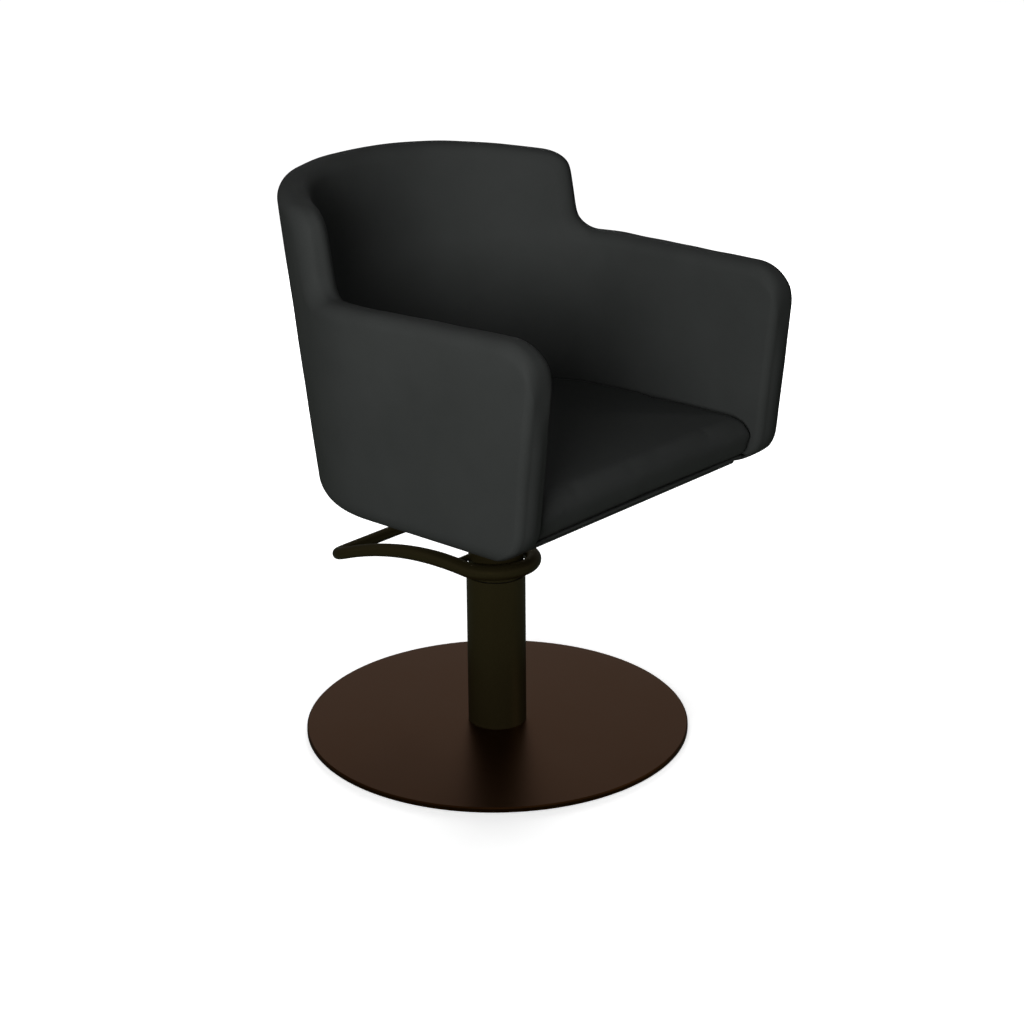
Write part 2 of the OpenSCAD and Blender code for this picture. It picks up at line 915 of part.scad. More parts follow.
function mirrored(half) =
    concat(half, [for (i = [len(half) - 2:-1:0])
        let (s = half[i]) [-s[0], s[1], -s[2], s[3], s[4]]]);

// How far a station's section moves sideways for each mm of height
rake_share = 0.67;
back_power = 1.45;
function drift(s) =
    let (
        ahead = s[1] + arm_front,
        back = pow(smooth((s[1] - arm_end_y) / back_depth), back_power),
        front = 1 - smooth(ahead / (rake_share * arm_front)),
        lean = arm_lean + (side_lean - arm_lean) * smooth(ahead / (arm_front + wing_y))
    )
    [-lean * s[0] / half_w, recline * back - arm_rake * front];

// How far a station's section stands back at a height, where the fronts turn under
toe_share = 0.4;
function toe(s, up) =
    toe_d * pow(max(1 - up / toe_h, 0), 2) * (1 - smooth((s[1] + arm_front) / (toe_share * arm_front)));

// Height above the underside of the wall's top, as it runs over a layer that lies inset inside.
// The wings' fronts stand a further distance behind for a point that lies that far below the top.
side_power = 2.5;
function rim_h(s, inset, below) =
    let (
        ahead = s[1] + arm_front,
        arm = arm_h + (arm_wing_h - arm_h) * min(ahead / (wing_y + arm_front), 1),
        back = tub_h - back_side_drop * pow(abs(s[0]) / half_w, side_power),
        corner_r = arm_top_r - inset,
        short = min(max(arm_top_r - ahead, 0), corner_r),
        corner = corner_r - sqrt(pow(corner_r, 2) - pow(short, 2))
    )
    arm + (back - arm) * lookup(s[1] - inset - below, wing_shares) - corner;

// A place in the plan, drawn in by across and moved to its height above the underside
function plan_point(s, across, up) =
    let (d = drift(s))
    [s[0] + s[2] * across + d[0] * up, s[1] + s[3] * across + d[1] * up + toe(s, up)];

function wall_point(s, across, up) =
    let (p = plan_point(s, across, up))
    [p[0], p[1], tub_z + up];

// Part of an ellipse
function turn(centre, rx, rz, from, to, steps) =
    [for (i = [0:steps])
        let (a = from + (to - from) * i / steps)
        [centre[0] + rx * cos(a), centre[1] + rz * sin(a)]];

// The wall's outline, from under the seat round the outside and over the top to the seat board.
// A layer lies side inside the outer face and under above the underside, with its own bend.
// The top's roundings lie square to the wall's edge, also where it climbs the wings.
under_steps = 3;
rim_steps = 2;
outline_count = under_steps + 2 * rim_steps + 7;
function wall_outline(s, side, under, bend) =
    let (
        more = s[4],
        dx = side + more,
        low = under + more,
        r = max(bend - more, least_r),
        top_r = max(rim_r - dx, least_r),
        rim = [for (i = [0:rim_steps])
            let (
                a = 90 * i / rim_steps,
                into = top_r * (1 - cos(a)),
                down = top_r * (1 - sin(a))
            )
            [dx + into, rim_h(s, side, down) - dx - down]]
    )
    concat(
        [[min(wrap_w, wall_t - dx - least_r), low]],
        turn([dx + r, low + r], -r, -r, 90, 0, under_steps),
        [[dx, toe_h]],
        rim,
        [for (i = [rim_steps:-1:0]) [wall_t - rim[i][0], rim[i][1]]],
        [[wall_t - dx, toe_h]],
        [[wall_t - dx, board_top - tub_z + seat_gap]]
    );

function layer_points(side, under, bend) =
    [for (s = mirrored(half_stations(side)))
        each [for (p = wall_outline(s, side, under, bend)) wall_point(s, p[0], p[1])]];

// Faces that close the outline at an end of the row of stations: the outline's lowest points, as
// many as lead says, fan out from its last one, and the rest lie in pairs at equal heights
function end_cap(first, m, lead) = concat(
    [for (j = [0:1:lead - 1]) [first + j, first + j + 1, first + m - 1]],
    [for (j = [0:(m - lead) / 2 - 2])
        let (a = first + lead + j, b = a + 1, c = first + m - 2 - j, d = c + 1)
        each [[a, b, c], [a, c, d]]]
);

function layer_faces(first, n, m, lead) = concat(
    quads(first, n, m, false),
    end_cap(first, m, lead),
    flipped(end_cap(first + (n - 1) * m, m, lead))
);

// Faces that join the open edges of two layers
function pair(a, b, c, d) = [[a, b, c], [a, c, d]];

function edge_faces(out, in, n, m) = concat(
    [for (i = [0:n - 2])
        each pair(out + (i + 1) * m, out + i * m, in + i * m, in + (i + 1) * m)],
    [for (i = [1:n - 1])
        each pair(out + i * m - 1, out + i * m + m - 1, in + i * m + m - 1, in + i * m - 1)],
    pair(out, out + m - 1, in + m - 1, in),
    pair(out + n * m - 1, out + (n - 1) * m, in + (n - 1) * m, in + n * m - 1)
);

module tub_layer(out, under, bend, in, under_in, bend_in) {
    n = len(mirrored(half_stations(0)));
    m = outline_count;
    polyhedron(concat(layer_points(out, under, bend), layer_points(in, under_in, bend_in)),
        concat(layer_faces(0, n, m, under_steps + 1),
            flipped(layer_faces(n * m, n, m, under_steps + 1)),
            edge_faces(0, n * m, n, m)));
}

// The foam's layer, and the radius of its bend round the seat board's edge
foam_out = cover_t + seat_gap;
foam_in = foam_out + foam_t;
foam_bend = 3;
shell_out = foam_in + seat_gap;
// Slant of the shell's upper edges
shell_edge = 4;

module tub_cover() {
    color(cover_colour)
        tub_layer(0, 0, bottom_r, cover_t, cover_t, bottom_r - cover_t);
}

module tub_foam() {
    color(foam_colour)
        tub_layer(foam_out, foam_out, bottom_r - foam_out, foam_in, foam_under, foam_bend);
}

// The plywood shell inside the foam stands on the seat board. Its fronts stand as far back at
// their foot as the hollow in the foam does at its lowest.
function shell_points(s) =
    let (
        near = shell_out,
        far = wall_t - shell_out,
        low = board_top - tub_z + seat_gap,
        edge = rim_h(s, near, shell_edge) - near - shell_edge,
        top = rim_h(s, near, 0) - near,
        back = toe(s, foam_under + foam_bend) - toe(s, low),
        row = [for (p = [[near, low], [near, toe_h], [near, edge], [near + shell_edge, top],
                [far - shell_edge, top], [far, edge], [far, toe_h], [far, low]])
            wall_point(s, p[0], p[1])]
    )
    [for (i = [0:7]) row[i] + (i == 0 || i == 7 ? [0, back, 0] : [0, 0, 0])];

module tub_shell() {
    stations = mirrored(half_stations(shell_out));
    n = len(stations);
    m = 8;
    bottom = [for (i = [0:n - 2])
        each pair((i + 1) * m, i * m, i * m + m - 1, (i + 1) * m + m - 1)];
    color(wood_colour)
        polyhedron([for (s = stations) each shell_points(s)],
            concat(layer_faces(0, n, m, 0), bottom));
}

// Seat board

board_in = foam_in + foam_bend + seat_gap;
board_front = seat_back_set + apron_d - arm_front;
board_up = board_z - tub_z;

// Outline of a flat piece under the seat, inset from the tub's outer face
function board_outline(inset, front) =
    let (
        side = [for (s = half_stations(0)) if (s[1] > front)
            plan_point(s, inset + s[4], board_up)],
        half = concat([[side[0][0], front]], side)
    )
    concat(half, [for (i = [len(half) - 2:-1:0]) [-half[i][0], half[i][1]]]);

// Stations of the screws along the tub
screw_stations = [6, 7, 12, 16, 18, 20];
shell_screw_d = 4.5;
shell_screw_l = 32;
shell_screw_head_d = 8;
shell_screw_head_h = 3;
panel_screw_d = 4;
panel_screw_l = 11;
panel_screw_head_h = 1.6;
// Distance of the panel's screws from the tub's outer face
panel_screw_in = 66;

module at_stations(across) {
    half = half_stations(0);
    for (i = screw_stations, side = [-1, 1]) {
        p = plan_point(half[i], across, board_up);
        translate([side * p[0], p[1], 0])
            children();
    }
}

module seat_board() {
    color(wood_colour)
        difference() {
            translate([0, 0, board_z])
                linear_extrude(board_t)
                    polygon(board_outline(board_in, board_front));
            translate([0, 0, board_z - cut])
                cylinder(h = board_t + 2 * cut, d = hub_d + bolt_gap);
            at_bolts(board_z - cut)
                cylinder(h = board_t + 2 * cut, r = tee_barrel_r + run_gap);
            at_bolts(board_top - tee_wall)
                cylinder(h = tee_wall + cut, d = tee_flange_d + bolt_gap);
            at_stations(wall_t / 2)
                translate([0, 0, board_z - cut]) {
                    cylinder(h = board_t + 2 * cut, d = shell_screw_d + bolt_gap);
                    cylinder(h = shell_screw_head_h + cut, d = shell_screw_head_d + bolt_gap);
                }
        }
}

module shell_screws() {
    color(steel_colour)
        at_stations(wall_t / 2)
            translate([0, 0, board_z]) {
                cylinder(h = shell_screw_l, d = shell_screw_d);
                cylinder(h = shell_screw_head_h, d = shell_screw_head_d);
            }
}

// The padded rail hides the seat board's front edge and hooks under it
trim_low = 2;
trim_r = 5;
trim_hook = 5;
trim_steps = 4;
trim_turns = 3;
trim_half = half_w - wall_t - 3 * seat_gap;

module front_trim() {
    start = arm_station(seat_back_set - arm_front, 0);
    top = board_top - tub_z;
    foot = trim_low + trim_r;
    front = [for (i = [0:trim_steps])
        let (up = foot + (top - foot) * i / trim_steps) [start[1] + toe(start, up), up]];
    back = board_front - seat_gap;
    color(cover_colour)
        translate([-trim_half, 0, tub_z])
            rotate([90, 0, 90])
                linear_extrude(2 * trim_half)
                    polygon(concat(front,
                        [[back, top], [back, board_up - seat_gap],
                            [back + trim_hook, board_up - seat_gap], [back + trim_hook, trim_low]],
                        turn([front[0][0] + trim_r, foot], -trim_r, -trim_r, 90, 0, trim_turns)));
}

panel_z = board_z - seat_gap - panel_t;
panel_in = wrap_w + pad_t;
// How far the panel's front edge stands behind the seat board's
panel_back_set = 6;

module closing_panel() {
    color(rubber_colour)
        difference() {
            translate([0, 0, panel_z])
                linear_extrude(panel_t)
                    polygon(board_outline(panel_in, board_front + panel_back_set));
            translate([0, 0, panel_z - cut])
                rounded_plate(flange_w + 2 * bolt_gap, flange_r, panel_t + 2 * cut);
            at_stations(panel_screw_in)
                translate([0, 0, panel_z - cut])
                    cylinder(h = panel_t + 2 * cut, d = panel_screw_d + bolt_gap);
        }
}

module panel_screws() {
    color(steel_colour)
        at_stations(panel_screw_in) {
            translate([0, 0, panel_z - panel_screw_head_h])
                cylinder(h = panel_screw_head_h, d = screw_head_d);
            translate([0, 0, panel_z])
                cylinder(h = panel_screw_l, d = panel_screw_d);
        }
}

// Seat cushion

// Places of the cushion's side, as the tub's stations behind the cushion's front corner
pad_front = seat_back_set - arm_front;
pad_corner = front_roll + side_roll;
pad_back_steps = 8;
pad_half = concat(
    [arm_station(pad_front + pad_corner, 0), arm_station((arm_end_y + pad_front) / 2, 0)],
    [for (i = [0:pad_back_steps]) back_station(90 * i / pad_back_steps)]
);
pad_front_steps = 8;
pad_cols = 2 * (len(pad_half) + 1) + pad_front_steps - 2;
pad_low = board_top - tub_z + seat_gap;
pad_mid_y = (pad_front + back_y) / 2;
low_angles = [90, 45, 0];
roll_angles = [0, 30, 60, 90];
crown_shares = [0.3, 0.65];

// A ring round the cushion, inset at its sides and at its front, at their heights
function pad_ring(side, side_up, front, front_up) =
    let (
        across = wall_t + pad_gap,
        start = arm_station(pad_front, 0),
        corner = plan_point(start, across + side, front_up),
        y = pad_front + front + toe(start, front_up),
        half = concat([[corner[0], y, front_up]],
            [for (i = [0:len(pad_half) - 1])
                let (
                    draw = side_draw * sin(180 * i / (len(pad_half) - 1)),
                    p = plan_point(pad_half[i], across + side + draw, side_up)
                )
                [p[0], p[1], side_up]]),
        far = [for (i = [len(half) - 2:-1:0]) [-half[i][0], half[i][1], half[i][2]]],
        edge = [for (i = [1:pad_front_steps - 1])
            let (t = 2 * i / pad_front_steps - 1)
            [corner[0] * t, y + front_draw * (1 - pow(t, 2)), front_up]]
    )
    concat(half, far, edge);

// Rings of the cushion's skin, for a layer that lies k inside its outer face
function pad_rings(k) =
    let (
        low_r = lower_roll - k,
        side_r = side_roll - k,
        front_r = front_roll - k,
        low = pad_low + k,
        top = seat_edge_h - k,
        under = pad_ring(pad_wrap, low, pad_wrap, low),
        lower = [for (a = low_angles)
            let (d = k + low_r * (1 - cos(a)), up = low + low_r * (1 - sin(a)))
            pad_ring(d, up, d, up)],
        upper = [for (a = roll_angles)
            pad_ring(k + side_r * (1 - cos(a)), top - side_r * (1 - sin(a)),
                k + front_r * (1 - cos(a)), top - front_r * (1 - sin(a)))],
        last = upper[len(upper) - 1],
        crown = [for (t = crown_shares)
            [for (p = last)
                [p[0] * (1 - t), p[1] + (pad_mid_y - p[1]) * t, p[2] + seat_crown * (1 - pow(1 - t, 2))]]]
    )
    concat([under], lower, upper, crown);

pad_rows = 1 + len(low_angles) + len(roll_angles) + len(crown_shares);

function pad_points(k) =
    concat([for (ring = pad_rings(k)) each [for (p = ring) [p[0], p[1], tub_z + p[2]]]],
        [[0, pad_mid_y, tub_z + seat_edge_h - k + seat_crown]]);

// Faces of a layer of the cushion, from its underside to the middle of its top
function pad_faces(first) =
    let (last = first + (pad_rows - 1) * pad_cols)
    concat(flipped(quads(first, pad_rows, pad_cols, true)),
        hub_fan(last, pad_cols, last + pad_cols));

module seat_cover() {
    second = pad_rows * pad_cols + 1;
    color(cover_colour)
        polyhedron(concat(pad_points(0), pad_points(cover_t)),
            concat(pad_faces(0), flipped(pad_faces(second)), strip(0, second, pad_cols)));
}

module seat_foam() {
    centre = pad_rows * pad_cols + 1;
    color(foam_colour)
        polyhedron(concat(pad_points(foam_out), [[0, pad_mid_y, board_top + seat_gap + foam_out]]),
            concat(pad_faces(0), flipped(hub_fan(0, pad_cols, centre))));
}

floor_pads();
column_cap();
base_plate();
foot_bolts();
foot_block();
column_tube();
thrust_washer();
upper_bush();
pump_bottom();
pump_body();
tie_rods();
valve_block();
inner_cylinder();
oil_pipe();
plunger_barrel();
pump_head();
guide_bush();
wiper_seal();
pivot_pins();
foot_lever();
lever_bridge();
plunger();
plunger_spring();
lift_rod();
lift_piston();
piston_seal();
rod_bolt();
seat_flange();
flange_washers();
flange_bolts();
tee_nuts();
seat_board();
tub_shell();
shell_screws();
tub_foam();
tub_cover();
seat_foam();
seat_cover();
front_trim();
closing_panel();
panel_screws();
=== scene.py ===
"""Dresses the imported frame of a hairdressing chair: upholstery, coated steel and fittings."""
from __future__ import annotations

import json
import logging
import math
from dataclasses import dataclass, field, replace
from enum import Enum
from typing import Sequence

import bmesh
import bpy
import numpy as np
from mathutils import Matrix, Vector

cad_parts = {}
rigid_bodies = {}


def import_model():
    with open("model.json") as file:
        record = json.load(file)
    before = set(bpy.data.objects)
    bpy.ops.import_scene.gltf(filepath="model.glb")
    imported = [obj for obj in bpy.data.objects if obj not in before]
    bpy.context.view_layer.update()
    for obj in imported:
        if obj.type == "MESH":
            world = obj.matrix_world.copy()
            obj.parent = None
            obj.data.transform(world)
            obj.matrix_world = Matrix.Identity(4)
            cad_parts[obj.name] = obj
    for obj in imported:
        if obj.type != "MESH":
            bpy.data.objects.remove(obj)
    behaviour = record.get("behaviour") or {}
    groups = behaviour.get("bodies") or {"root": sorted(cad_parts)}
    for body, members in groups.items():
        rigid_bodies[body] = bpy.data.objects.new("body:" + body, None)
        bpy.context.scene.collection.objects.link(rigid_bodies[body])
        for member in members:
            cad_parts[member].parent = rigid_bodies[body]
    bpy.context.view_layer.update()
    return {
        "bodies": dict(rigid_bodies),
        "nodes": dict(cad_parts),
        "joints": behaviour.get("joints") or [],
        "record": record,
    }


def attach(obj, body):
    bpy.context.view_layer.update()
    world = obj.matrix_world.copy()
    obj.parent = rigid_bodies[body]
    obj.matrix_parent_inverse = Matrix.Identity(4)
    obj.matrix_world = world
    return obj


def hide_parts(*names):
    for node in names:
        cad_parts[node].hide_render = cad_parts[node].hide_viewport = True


LOG = logging.getLogger("hairdressing_chair")
MM = 0.001
WHITE = "ffffff"
# Degrees at which a quarter turn of an edge has its points, close together at the flat end
QUARTER_TURN = (90, 78, 66, 54, 42, 30, 18, 8, 0)
# Smallest radius of an edge, in metres
LEAST_RADIUS = 0.001


# Colour and nodes
def linear(hex_colour: str) -> tuple[float, float, float, float]:
    """Turns an sRGB hex colour into a linear RGBA value.

    Args:
        hex_colour: Six hex digits, with or without a leading hash.

    Returns:
        The linear colour with an alpha of one.
    """
    digits = hex_colour.lstrip("#")
    values = [int(digits[i : i + 2], 16) / 255 for i in (0, 2, 4)]
    lin = [v / 12.92 if v <= 0.04045 else ((v + 0.055) / 1.055) ** 2.4 for v in values]
    return (lin[0], lin[1], lin[2], 1.0)


def add_node(
    tree: bpy.types.NodeTree,
    kind: str,
    inputs: dict[str | int, object] | None = None,
    **settings: object,
) -> bpy.types.Node:
    """Adds a shader node with its settings and links.

    Args:
        tree: The node tree that takes the node.
        kind: Blender's name of the node type.
        inputs: Values or output sockets by the name or number of the input socket.
        settings: Properties of the node.

    Returns:
        The new node.
    """
    node = tree.nodes.new(kind)
    for name, value in settings.items():
        setattr(node, name, value)
    for name, value in (inputs or {}).items():
        if isinstance(value, bpy.types.NodeSocket):
            tree.links.new(value, node.inputs[name])
        else:
            node.inputs[name].default_value = value
    return node


def add_bands(
    tree: bpy.types.NodeTree,
    place: bpy.types.NodeSocket,
    scale: float,
    distortion: float,
    detail: float,
) -> bpy.types.NodeSocket:
    """Adds level bands, one above the other.

    Args:
        tree: The material's node tree.
        place: Object coordinates in metres.
        scale: One over a band's thickness in metres.
        distortion: How far the bands wander.
        detail: How fine the wandering is.

    Returns:
        The bands' factor.
    """
    return add_node(
        tree,
        "ShaderNodeTexWave",
        {"Vector": place, "Scale": scale / math.tau, "Distortion": distortion, "Detail": detail},
        wave_type="BANDS",
        bands_direction="Z",
    ).outputs["Fac"]


class Grain(Enum):
    """How a finish breaks up its surface."""

    PEBBLED = "pebbled"
    ORANGE_PEEL = "orange_peel"
    TURNED = "turned"
    CAST = "cast"
    PLIES = "plies"
    CELLS = "cells"


@dataclass(frozen=True)
class Finish:
    """A real material and the way its surface was made."""

    name: str
    tones: tuple[str, str]
    roughness: tuple[float, float]
    grain: Grain
    grain_mm: float
    relief_mm: float
    mottle_mm: float = 90.0
    metallic: float = 0.0
    specular: float = 0.5

    def build(self) -> bpy.types.Material:
        """Makes the node material of this finish."""
        mat = bpy.data.materials.new(self.name)
        mat.use_nodes = True
        tree = mat.node_tree
        tree.nodes.clear()
        place = add_node(tree, "ShaderNodeTexCoord").outputs["Object"]
        height, spread = self._pattern(tree, place)
        mottle = add_node(
            tree,
            "ShaderNodeTexNoise",
            {"Vector": place, "Scale": 1 / (self.mottle_mm * MM), "Detail": 3.0, "Roughness": 0.6},
        ).outputs["Fac"]
        mixed = add_node(
            tree, "ShaderNodeMath", {0: mottle, 1: spread}, operation="ADD"
        ).outputs[0]
        tone = add_node(
            tree, "ShaderNodeMapRange", {"Value": mixed, "From Min": 0.65, "From Max": 1.35}
        ).outputs["Result"]
        colour = add_node(
            tree,
            "ShaderNodeMix",
            {"Factor": tone, 6: linear(self.tones[0]), 7: linear(self.tones[1])},
            data_type="RGBA",
        ).outputs[2]
        rough = add_node(
            tree,
            "ShaderNodeMapRange",
            {
                "Value": mixed,
                "From Min": 0.6,
                "From Max": 1.4,
                "To Min": self.roughness[0],
                "To Max": self.roughness[1],
            },
        ).outputs["Result"]
        bump = add_node(
            tree,
            "ShaderNodeBump",
            {"Height": height, "Strength": 1.0, "Distance": self.relief_mm * MM},
        ).outputs["Normal"]
        shader = add_node(
            tree,
            "ShaderNodeBsdfPrincipled",
            {
                "Base Color": colour,
                "Roughness": rough,
                "Metallic": self.metallic,
                "Normal": bump,
                "Specular IOR Level": self.specular,
            },
        )
        add_node(tree, "ShaderNodeOutputMaterial", {"Surface": shader.outputs["BSDF"]})
        return mat

    def _pattern(
        self, tree: bpy.types.NodeTree, place: bpy.types.NodeSocket
    ) -> tuple[bpy.types.NodeSocket, bpy.types.NodeSocket]:
        """Adds the surface pattern.

        Args:
            tree: The material's node tree.
            place: Object coordinates in metres.

        Returns:
            The relief's height, and a factor that spreads the tones.
        """
        scale = 1 / (self.grain_mm * MM)
        if self.grain is Grain.PEBBLED:
            cells = add_node(
                tree,
                "ShaderNodeTexVoronoi",
                {"Vector": place, "Scale": scale, "Randomness": 0.9},
                feature="SMOOTH_F1",
            ).outputs["Distance"]
            fine = add_node(
                tree, "ShaderNodeTexNoise", {"Vector": place, "Scale": scale * 3, "Detail": 2.0}
            ).outputs["Fac"]
            dome = add_node(
                tree, "ShaderNodeMath", {0: cells, 1: -1.0, 2: 1.0}, operation="MULTIPLY_ADD"
            ).outputs[0]
            height = add_node(
                tree, "ShaderNodeMath", {0: fine, 1: 0.3, 2: dome}, operation="MULTIPLY_ADD"
            ).outputs[0]
            return height, fine
        if self.grain is Grain.CELLS:
            cells = add_node(
                tree, "ShaderNodeTexVoronoi", {"Vector": place, "Scale": scale, "Randomness": 1.0}
            ).outputs["Distance"]
            return cells, cells
        if self.grain is Grain.TURNED:
            # Turning marks run round the part, so they are bands along its axis.
            bands = add_bands(tree, place, scale, 0.4, 1.0)
            return bands, bands
        if self.grain is Grain.PLIES:
            plies = add_bands(tree, place, scale, 0.6, 2.0)
            veneer = add_node(
                tree, "ShaderNodeMapping", {"Vector": place, "Scale": (0.05, 1.0, 1.0)}
            ).outputs["Vector"]
            fibre = add_node(
                tree, "ShaderNodeTexNoise", {"Vector": veneer, "Scale": scale, "Detail": 4.0}
            ).outputs["Fac"]
            both = add_node(
                tree, "ShaderNodeMath", {0: plies, 1: 0.4, 2: fibre}, operation="MULTIPLY_ADD"
            ).outputs[0]
            return fibre, both
        detail = 1.0 if self.grain is Grain.ORANGE_PEEL else 5.0
        noise = add_node(
            tree, "ShaderNodeTexNoise", {"Vector": place, "Scale": scale, "Detail": detail}
        ).outputs["Fac"]
        return noise, noise


# Leathercloth: PU film on knitted backing, embossed while hot. A real grain of about 1.2 mm
# would be finer than a pixel, so it is drawn at 2.4 mm. It gives the eye a soft, broken sheen.
LEATHERCLOTH = Finish(
    "embossed_leathercloth",
    ("3b3d3c", "434544"),
    (0.46, 0.6),
    Grain.PEBBLED,
    grain_mm=2.4,
    relief_mm=0.05,
    mottle_mm=140.0,
    specular=0.25,
)
# Lacquered steel, dark bronze: a lacquer with fine metal flakes, sprayed and baked. The flakes
# tint what it mirrors, so the eye sees warm brown reflections in a faint orange peel.
BRONZE_LACQUER = Finish(
    "bronze_lacquered_steel",
    ("6a4525", "724b29"),
    (0.33, 0.41),
    Grain.ORANGE_PEEL,
    grain_mm=2.0,
    relief_mm=0.008,
    mottle_mm=160.0,
    metallic=1.0,
)
# The same lacquer on tube and bar, greener and a little duller, and darker: the darkening is painted
# shade, which dims what they mirror.
BRONZE_LACQUER_SHADED = replace(
    BRONZE_LACQUER,
    name="bronze_lacquer_painted_shade",
    tones=("574e31", "5e5537"),
    roughness=(0.34, 0.42),
    metallic=0.82,
)
# Hard chrome on a ground rod: a mirror softened by the grinding marks round it.
GROUND_CHROME = Finish(
    "ground_hard_chrome",
    ("b4b6b8", "c4c6c8"),
    (0.10, 0.18),
    Grain.TURNED,
    grain_mm=1.2,
    relief_mm=0.004,
    metallic=1.0,
)
# Zinc plate on turned or pressed steel: a grey metal with a slight yellow-blue bloom.
ZINC_PLATE = Finish(
    "zinc_plated_steel",
    ("8c9094", "a3a39c"),
    (0.30, 0.45),
    Grain.TURNED,
    grain_mm=1.0,
    relief_mm=0.01,
    mottle_mm=12.0,
    metallic=1.0,
)
# Bearing bronze, cast and turned, darkened by oil.
OILED_BRONZE = Finish(
    "oiled_bearing_bronze",
    ("8a6738", "a8844c"),
    (0.28, 0.42),
    Grain.TURNED,
    grain_mm=0.9,
    relief_mm=0.01,
    metallic=1.0,
)
# Moulded rubber: matt black with a fine spark-eroded texture from the mould.
MOULDED_RUBBER = Finish(
    "moulded_rubber",
    ("161616", "1f1f1e"),
    (0.62, 0.78),
    Grain.CAST,
    grain_mm=1.5,
    relief_mm=0.05,
)
# Nylon, moulded: smoother than rubber, with a waxy sheen.
MOULDED_NYLON = Finish(
    "moulded_nylon",
    ("1b1c1e", "232426"),
    (0.38, 0.5),
    Grain.CAST,
    grain_mm=2.0,
    relief_mm=0.02,
)
# Birch plywood: veneers, drawn 2.8 mm thick, show as bands on its edges, and fibres run across
# its faces.
BIRCH_PLYWOOD = Finish(
    "birch_plywood",
    ("a98a5c", "cdb083"),
    (0.55, 0.7),
    Grain.PLIES,
    grain_mm=2.8,
    relief_mm=0.05,
    mottle_mm=40.0,
)
# Flexible polyurethane foam, cut from the block: open cells of about half a millimetre, drawn
# at 2 mm so that they show.
CUT_FOAM = Finish(
    "cut_polyurethane_foam",
    ("cfc49a", "dcd3ae"),
    (0.85, 0.95),
    Grain.CELLS,
    grain_mm=2.0,
    relief_mm=0.3,
)
# Polypropylene sheet, embossed matt, that closes the underside.
EMBOSSED_SHEET = Finish(
    "embossed_polypropylene",
    ("151515", "1e1e1e"),
    (0.5, 0.62),
    Grain.PEBBLED,
    grain_mm=2.0,
    relief_mm=0.08,
)


@dataclass
class Palette:
    """Builds each finish once and hands out its material."""

    made: dict[str, bpy.types.Material] = field(default_factory=dict)

    def get(self, finish: Finish) -> bpy.types.Material:
        """Returns the material of a finish."""
        if finish.name not in self.made:
            self.made[finish.name] = finish.build()
            LOG.info("finish %s", finish.name)
        return self.made[finish.name]

    def dress(self, obj: bpy.types.Object, finish: Finish) -> None:
        """Puts a finish on every slot of an object."""
        mat = self.get(finish)
        if not obj.data.materials:
            obj.data.materials.append(mat)
        for i in range(len(obj.data.materials)):
            obj.data.materials[i] = mat


# Mesh helpers
def smooth(t: np.ndarray) -> np.ndarray:
    """Eases from 0 to 1."""
    u = np.clip(t, 0, 1)
    return u * u * (3 - 2 * u)


def make_object(
    name: str, points: np.ndarray, faces: Sequence[Sequence[int]], smooth_shading: bool = True
) -> bpy.types.Object:
    """Makes a mesh object and links it to the scene.

    Args:
        name: The object's name.
        points: Its points in metres, one row each.
        faces: Point numbers of each face.
        smooth_shading: Whether it is shaded smooth.

    Returns:
        The new object, with its normals facing out.
    """
    mesh = bpy.data.meshes.new(name)
    mesh.from_pydata([tuple(map(float, p)) for p in points], [], [tuple(f) for f in faces])
    bm = bmesh.new()
    bm.from_mesh(mesh)
    bmesh.ops.recalc_face_normals(bm, faces=bm.faces)
    bm.to_mesh(mesh)
    bm.free()
    if smooth_shading:
        mesh.shade_smooth()
    obj = bpy.data.objects.new(name, mesh)
    bpy.context.scene.collection.objects.link(obj)
    return obj


def apply_modifier(obj: bpy.types.Object, kind: str, **settings: object) -> None:
    """Adds a modifier and applies it to the mesh.

    Args:
        obj: The mesh object.
        kind: Blender's name of the modifier type.
        settings: Properties of the modifier.
    """
    mod = obj.modifiers.new(kind.lower(), kind)
    for name, value in settings.items():
        setattr(mod, name, value)
    depsgraph = bpy.context.evaluated_depsgraph_get()
    result = bpy.data.meshes.new_from_object(obj.evaluated_get(depsgraph))
    obj.modifiers.remove(mod)
    old = obj.data
    obj.data = result
    bpy.data.meshes.remove(old)


def coords(obj: bpy.types.Object) -> np.ndarray:
    """Returns an object's points, one row each."""
    flat = np.zeros(len(obj.data.vertices) * 3)
    obj.data.vertices.foreach_get("co", flat)
    return flat.reshape(-1, 3)


def set_coords(obj: bpy.types.Object, points: np.ndarray) -> None:
    """Writes an object's points."""
    obj.data.vertices.foreach_set("co", np.ascontiguousarray(points).ravel())
    obj.data.update()


def count_open_edges(obj: bpy.types.Object) -> int:
    """Counts the edges that don't join exactly two faces."""
    bm = bmesh.new()
    bm.from_mesh(obj.data)
    count = sum(1 for e in bm.edges if not e.is_manifold)
    bm.free()
    return count


def grid_faces(rows: int, cols: int, closed: bool = False) -> list[tuple[int, int, int, int]]:
    """Quads between rows of points that follow one another.

    Args:
        rows: Number of rows.
        cols: Points in a row.
        closed: Whether each row closes on itself.

    Returns:
        The quads.
    """
    last = cols if closed else cols - 1
    return [
        (i * cols + j, i * cols + (j + 1) % cols, (i + 1) * cols + (j + 1) % cols, (i + 1) * cols + j)
        for i in range(rows - 1)
        for j in range(last)
    ]


